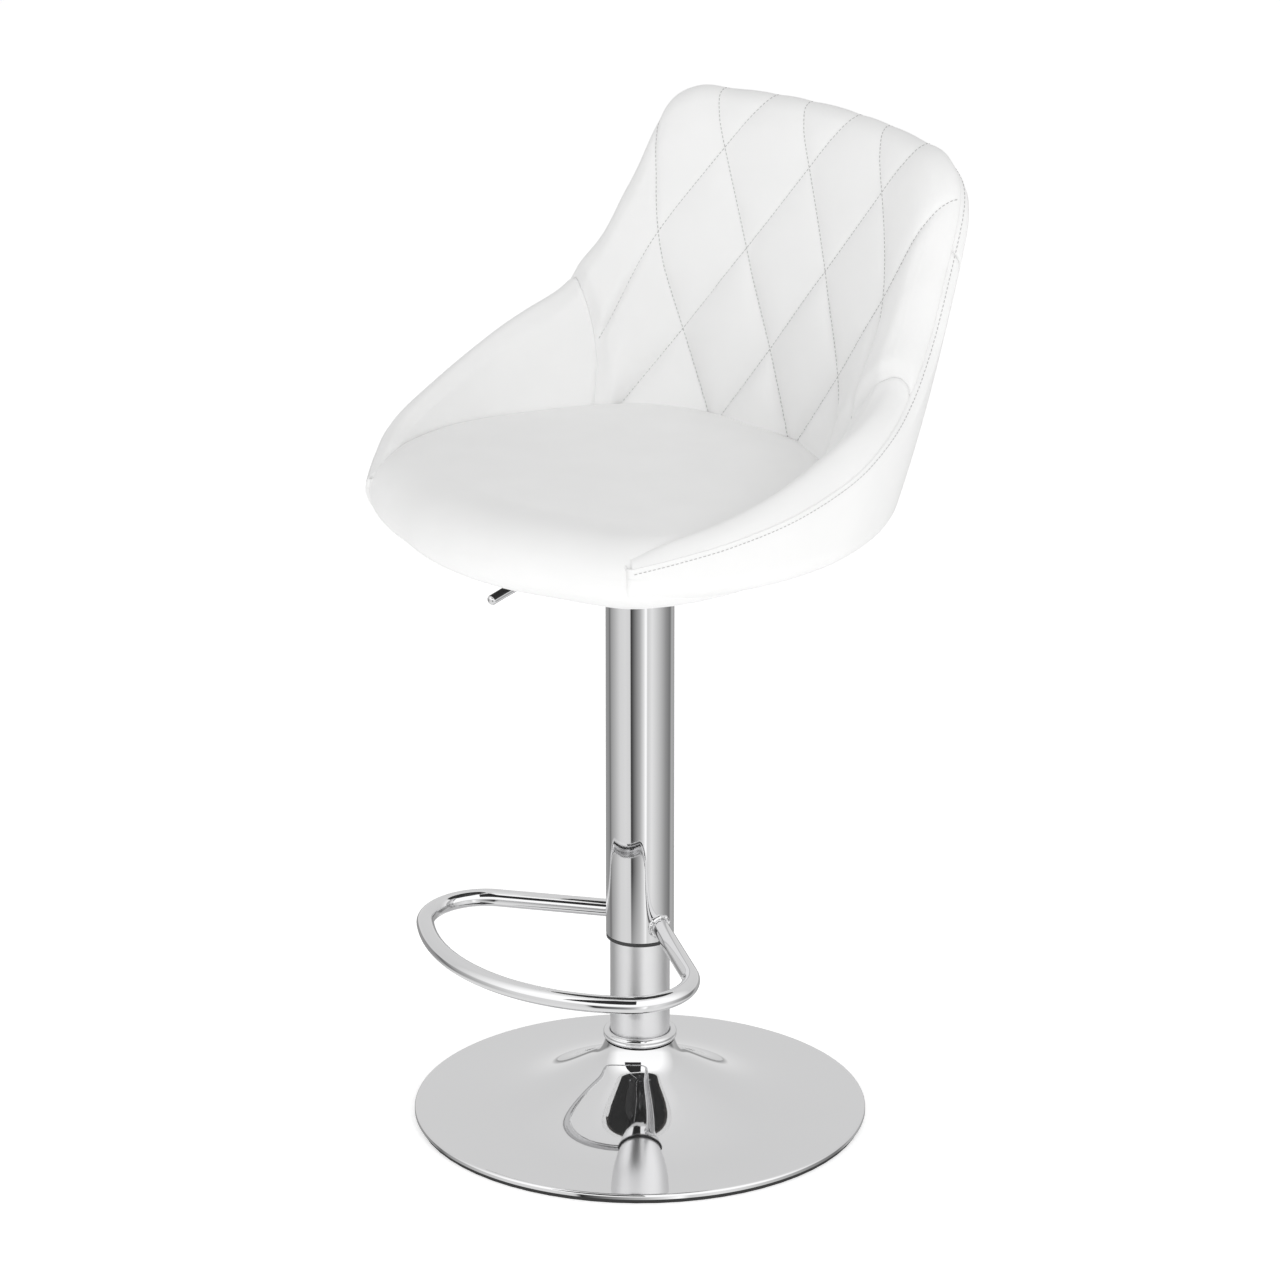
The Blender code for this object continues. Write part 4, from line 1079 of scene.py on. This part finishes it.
def read_grid(values, i, j):
    """A grid read at fractional places, by blending the four points round each."""
    a = np.clip(np.floor(i).astype(int), 0, values.shape[0] - 2)
    b = np.clip(np.floor(j).astype(int), 0, values.shape[1] - 2)
    s, t = (i - a)[:, None], (j - b)[:, None]
    return (
        values[a, b] * (1 - s) * (1 - t) + values[a + 1, b] * s * (1 - t)
        + values[a, b + 1] * (1 - s) * t + values[a + 1, b + 1] * s * t
    )


def evenly(points, pitch):
    """Places along a line of points, spaced by the pitch, as (positions, directions)."""
    length = np.concatenate([[0], np.cumsum(np.linalg.norm(np.diff(points, axis=0), axis=1))])
    at = np.arange(pitch / 2, length[-1] - pitch / 2, pitch)
    read = np.stack([np.interp(at, length, points[:, k]) for k in range(3)], -1)
    after = np.stack([np.interp(at + pitch / 4, length, points[:, k]) for k in range(3)], -1)
    return read, unit(after - read)


def stitches(name, places, directions, normals):
    """One mesh of many stitches. Each is a short bar, tapered at both ends, that lies on the
    surface along the line."""
    ring = full_turn(6)
    along = np.array([-0.5, -0.36, 0.0, 0.36, 0.5]) * STITCH_LENGTH
    girth = np.array([0.25, 0.85, 1.0, 0.85, 0.25]) * STITCH_RADIUS
    side = unit(np.cross(directions, normals))
    over = np.cross(side, directions)
    circle = rings(ring, side, over)
    points = (
        places[:, None, None] + directions[:, None, None] * along[None, :, None, None]
        + circle[:, None] * girth[None, :, None, None]
    )
    grid = np.array(quads(5, 6, False, True))
    offset = (np.arange(len(places)) * 30)[:, None, None]
    faces = (grid[None] + offset).reshape(-1, 4).tolist()
    caps = np.array([[5, 4, 3, 2, 1, 0], [24, 25, 26, 27, 28, 29]])
    faces += (caps[None] + offset).reshape(-1, 6).tolist()
    dress(outward(put_mesh(name, points, faces)), thread, "seat", "white_leather")


def sewn_lines(values, first, last):
    """Along each whole value of a lattice coordinate: where every grid column crosses it.

    For each line, the crossing of each row is found between the two columns where the
    coordinate passes the whole number.
    """
    found = []
    for whole in range(first, last + 1):
        signs = values - whole
        crossing = (signs[:-1] * signs[1:] <= 0) & (signs[:-1] != signs[1:])
        rows = np.where(crossing.any(0))[0]
        if len(rows) < 12:
            continue
        columns = crossing[:, rows].argmax(0)
        before, after = signs[columns, rows], signs[columns + 1, rows]
        found.append((columns + before / (before - after), rows.astype(float)))
    return found


def sew(face, facing, i, j):
    """Stitches along the line of a grid's places (i, j): their places, directions, normals."""
    line = read_grid(face, i, j)
    spot, way = evenly(line, STITCH_PITCH)
    nearest = np.linalg.norm(spot[:, None] - line[None], axis=2).argmin(1)
    up = unit(read_grid(facing, i[nearest], j[nearest]))
    return np.stack([spot + up * STITCH_LIFT, way, up])


sewn = []
facing = inner_normal(back_front, 1)
for coordinate, wholes in ((diamond_p, SEWN_P), (diamond_q, SEWN_Q)):
    for i, j in sewn_lines(coordinate, *wholes):
        keep = (j > WALL_ROWS * 0.04) & (j < WALL_ROWS * 0.985)
        if keep.sum() >= 8:
            sewn.append(sew(back_front, facing, i[keep], j[keep]))
stitches("quilting_stitches", *np.concatenate(sewn, 1))

sewn = []
for both_sides, face in ((True, side_face[:SIDE_COLUMNS]), (False, rear_face)):
    facing = outer_normal(face)
    rise = length_along(face, 1)
    below = rise[:, -1:] - rise
    column = np.arange(len(face))
    for inset in EDGE_INSETS:
        row = (below > inset).sum(1) - 1
        over, under = below[column, row], below[column, np.minimum(row + 1, COVER_ROWS - 1)]
        j = row + (over - inset) / np.maximum(over - under, 1e-9)
        sewn.append(sew(face, facing, column.astype(float), j))
        if both_sides:
            sewn.append(sewn[-1] * [-1, 1, 1])
stitches("edge_stitches", *np.concatenate(sewn, 1))

# ---- Parts that keep their own shape ----
# The ballast, bolts, plates, gas lift, bushes, board and lining are as the model makes them.
# Each gets the finish that it has from its own process.

steel = finish(
    "zinc_plated_steel", (0.46, 0.47, 0.49), (0.38, 0.39, 0.40), (0.28, 0.45),
    metallic=1.0, cloud_scale=40.0, grain_scale=1200.0, bump=0.10,
)
black_steel = finish(
    "black_powder_coat", (0.035, 0.035, 0.036), (0.05, 0.05, 0.05), (0.42, 0.58),
    metallic=0.0, cloud_scale=60.0, grain_scale=2600.0, bump=0.35,
)
rubber = finish(
    "black_rubber", (0.022, 0.022, 0.022), (0.035, 0.035, 0.035), (0.70, 0.85),
    metallic=0.0, cloud_scale=50.0, grain_scale=1800.0, bump=0.30,
)
nylon = finish(
    "black_nylon", (0.028, 0.028, 0.030), (0.040, 0.040, 0.040), (0.38, 0.50),
    metallic=0.0, cloud_scale=45.0, grain_scale=1500.0, bump=0.12,
)
felt = finish(
    "black_lining", (0.020, 0.020, 0.020), (0.040, 0.040, 0.040), (0.85, 0.98),
    metallic=0.0, cloud_scale=120.0, grain_scale=2400.0, bump=0.60,
)

plywood, nodes, board_shader = new_material("bent_plywood")
board_shader.inputs["Roughness"].default_value = 0.62
where = nodes.nodes.new("ShaderNodeTexCoord").outputs["Object"]
stretch = nodes.nodes.new("ShaderNodeMapping")
stretch.inputs["Scale"].default_value = (4.0, 60.0, 60.0)
link(nodes, where, stretch.inputs["Vector"])
growth_rings = texture(nodes, "ShaderNodeTexNoise", stretch.outputs[0], 3.0, Detail=6.0)
drift(nodes, growth_rings.outputs[0], (0.050, 0.046, 0.042), (0.030, 0.027, 0.025), board_shader)

FINISHES = {
    "chrome": chrome, "steel": steel, "black_steel": black_steel, "rubber": rubber,
    "nylon": nylon, "plywood": plywood, "lining": felt, "white_leather": leather,
}
slots = {part["node"]: part["material_slot"] for part in frame["record"]["subparts"]}
for name, node in frame["nodes"].items():
    node.data.materials.clear()
    node.data.materials.append(FINISHES[slots[name]])
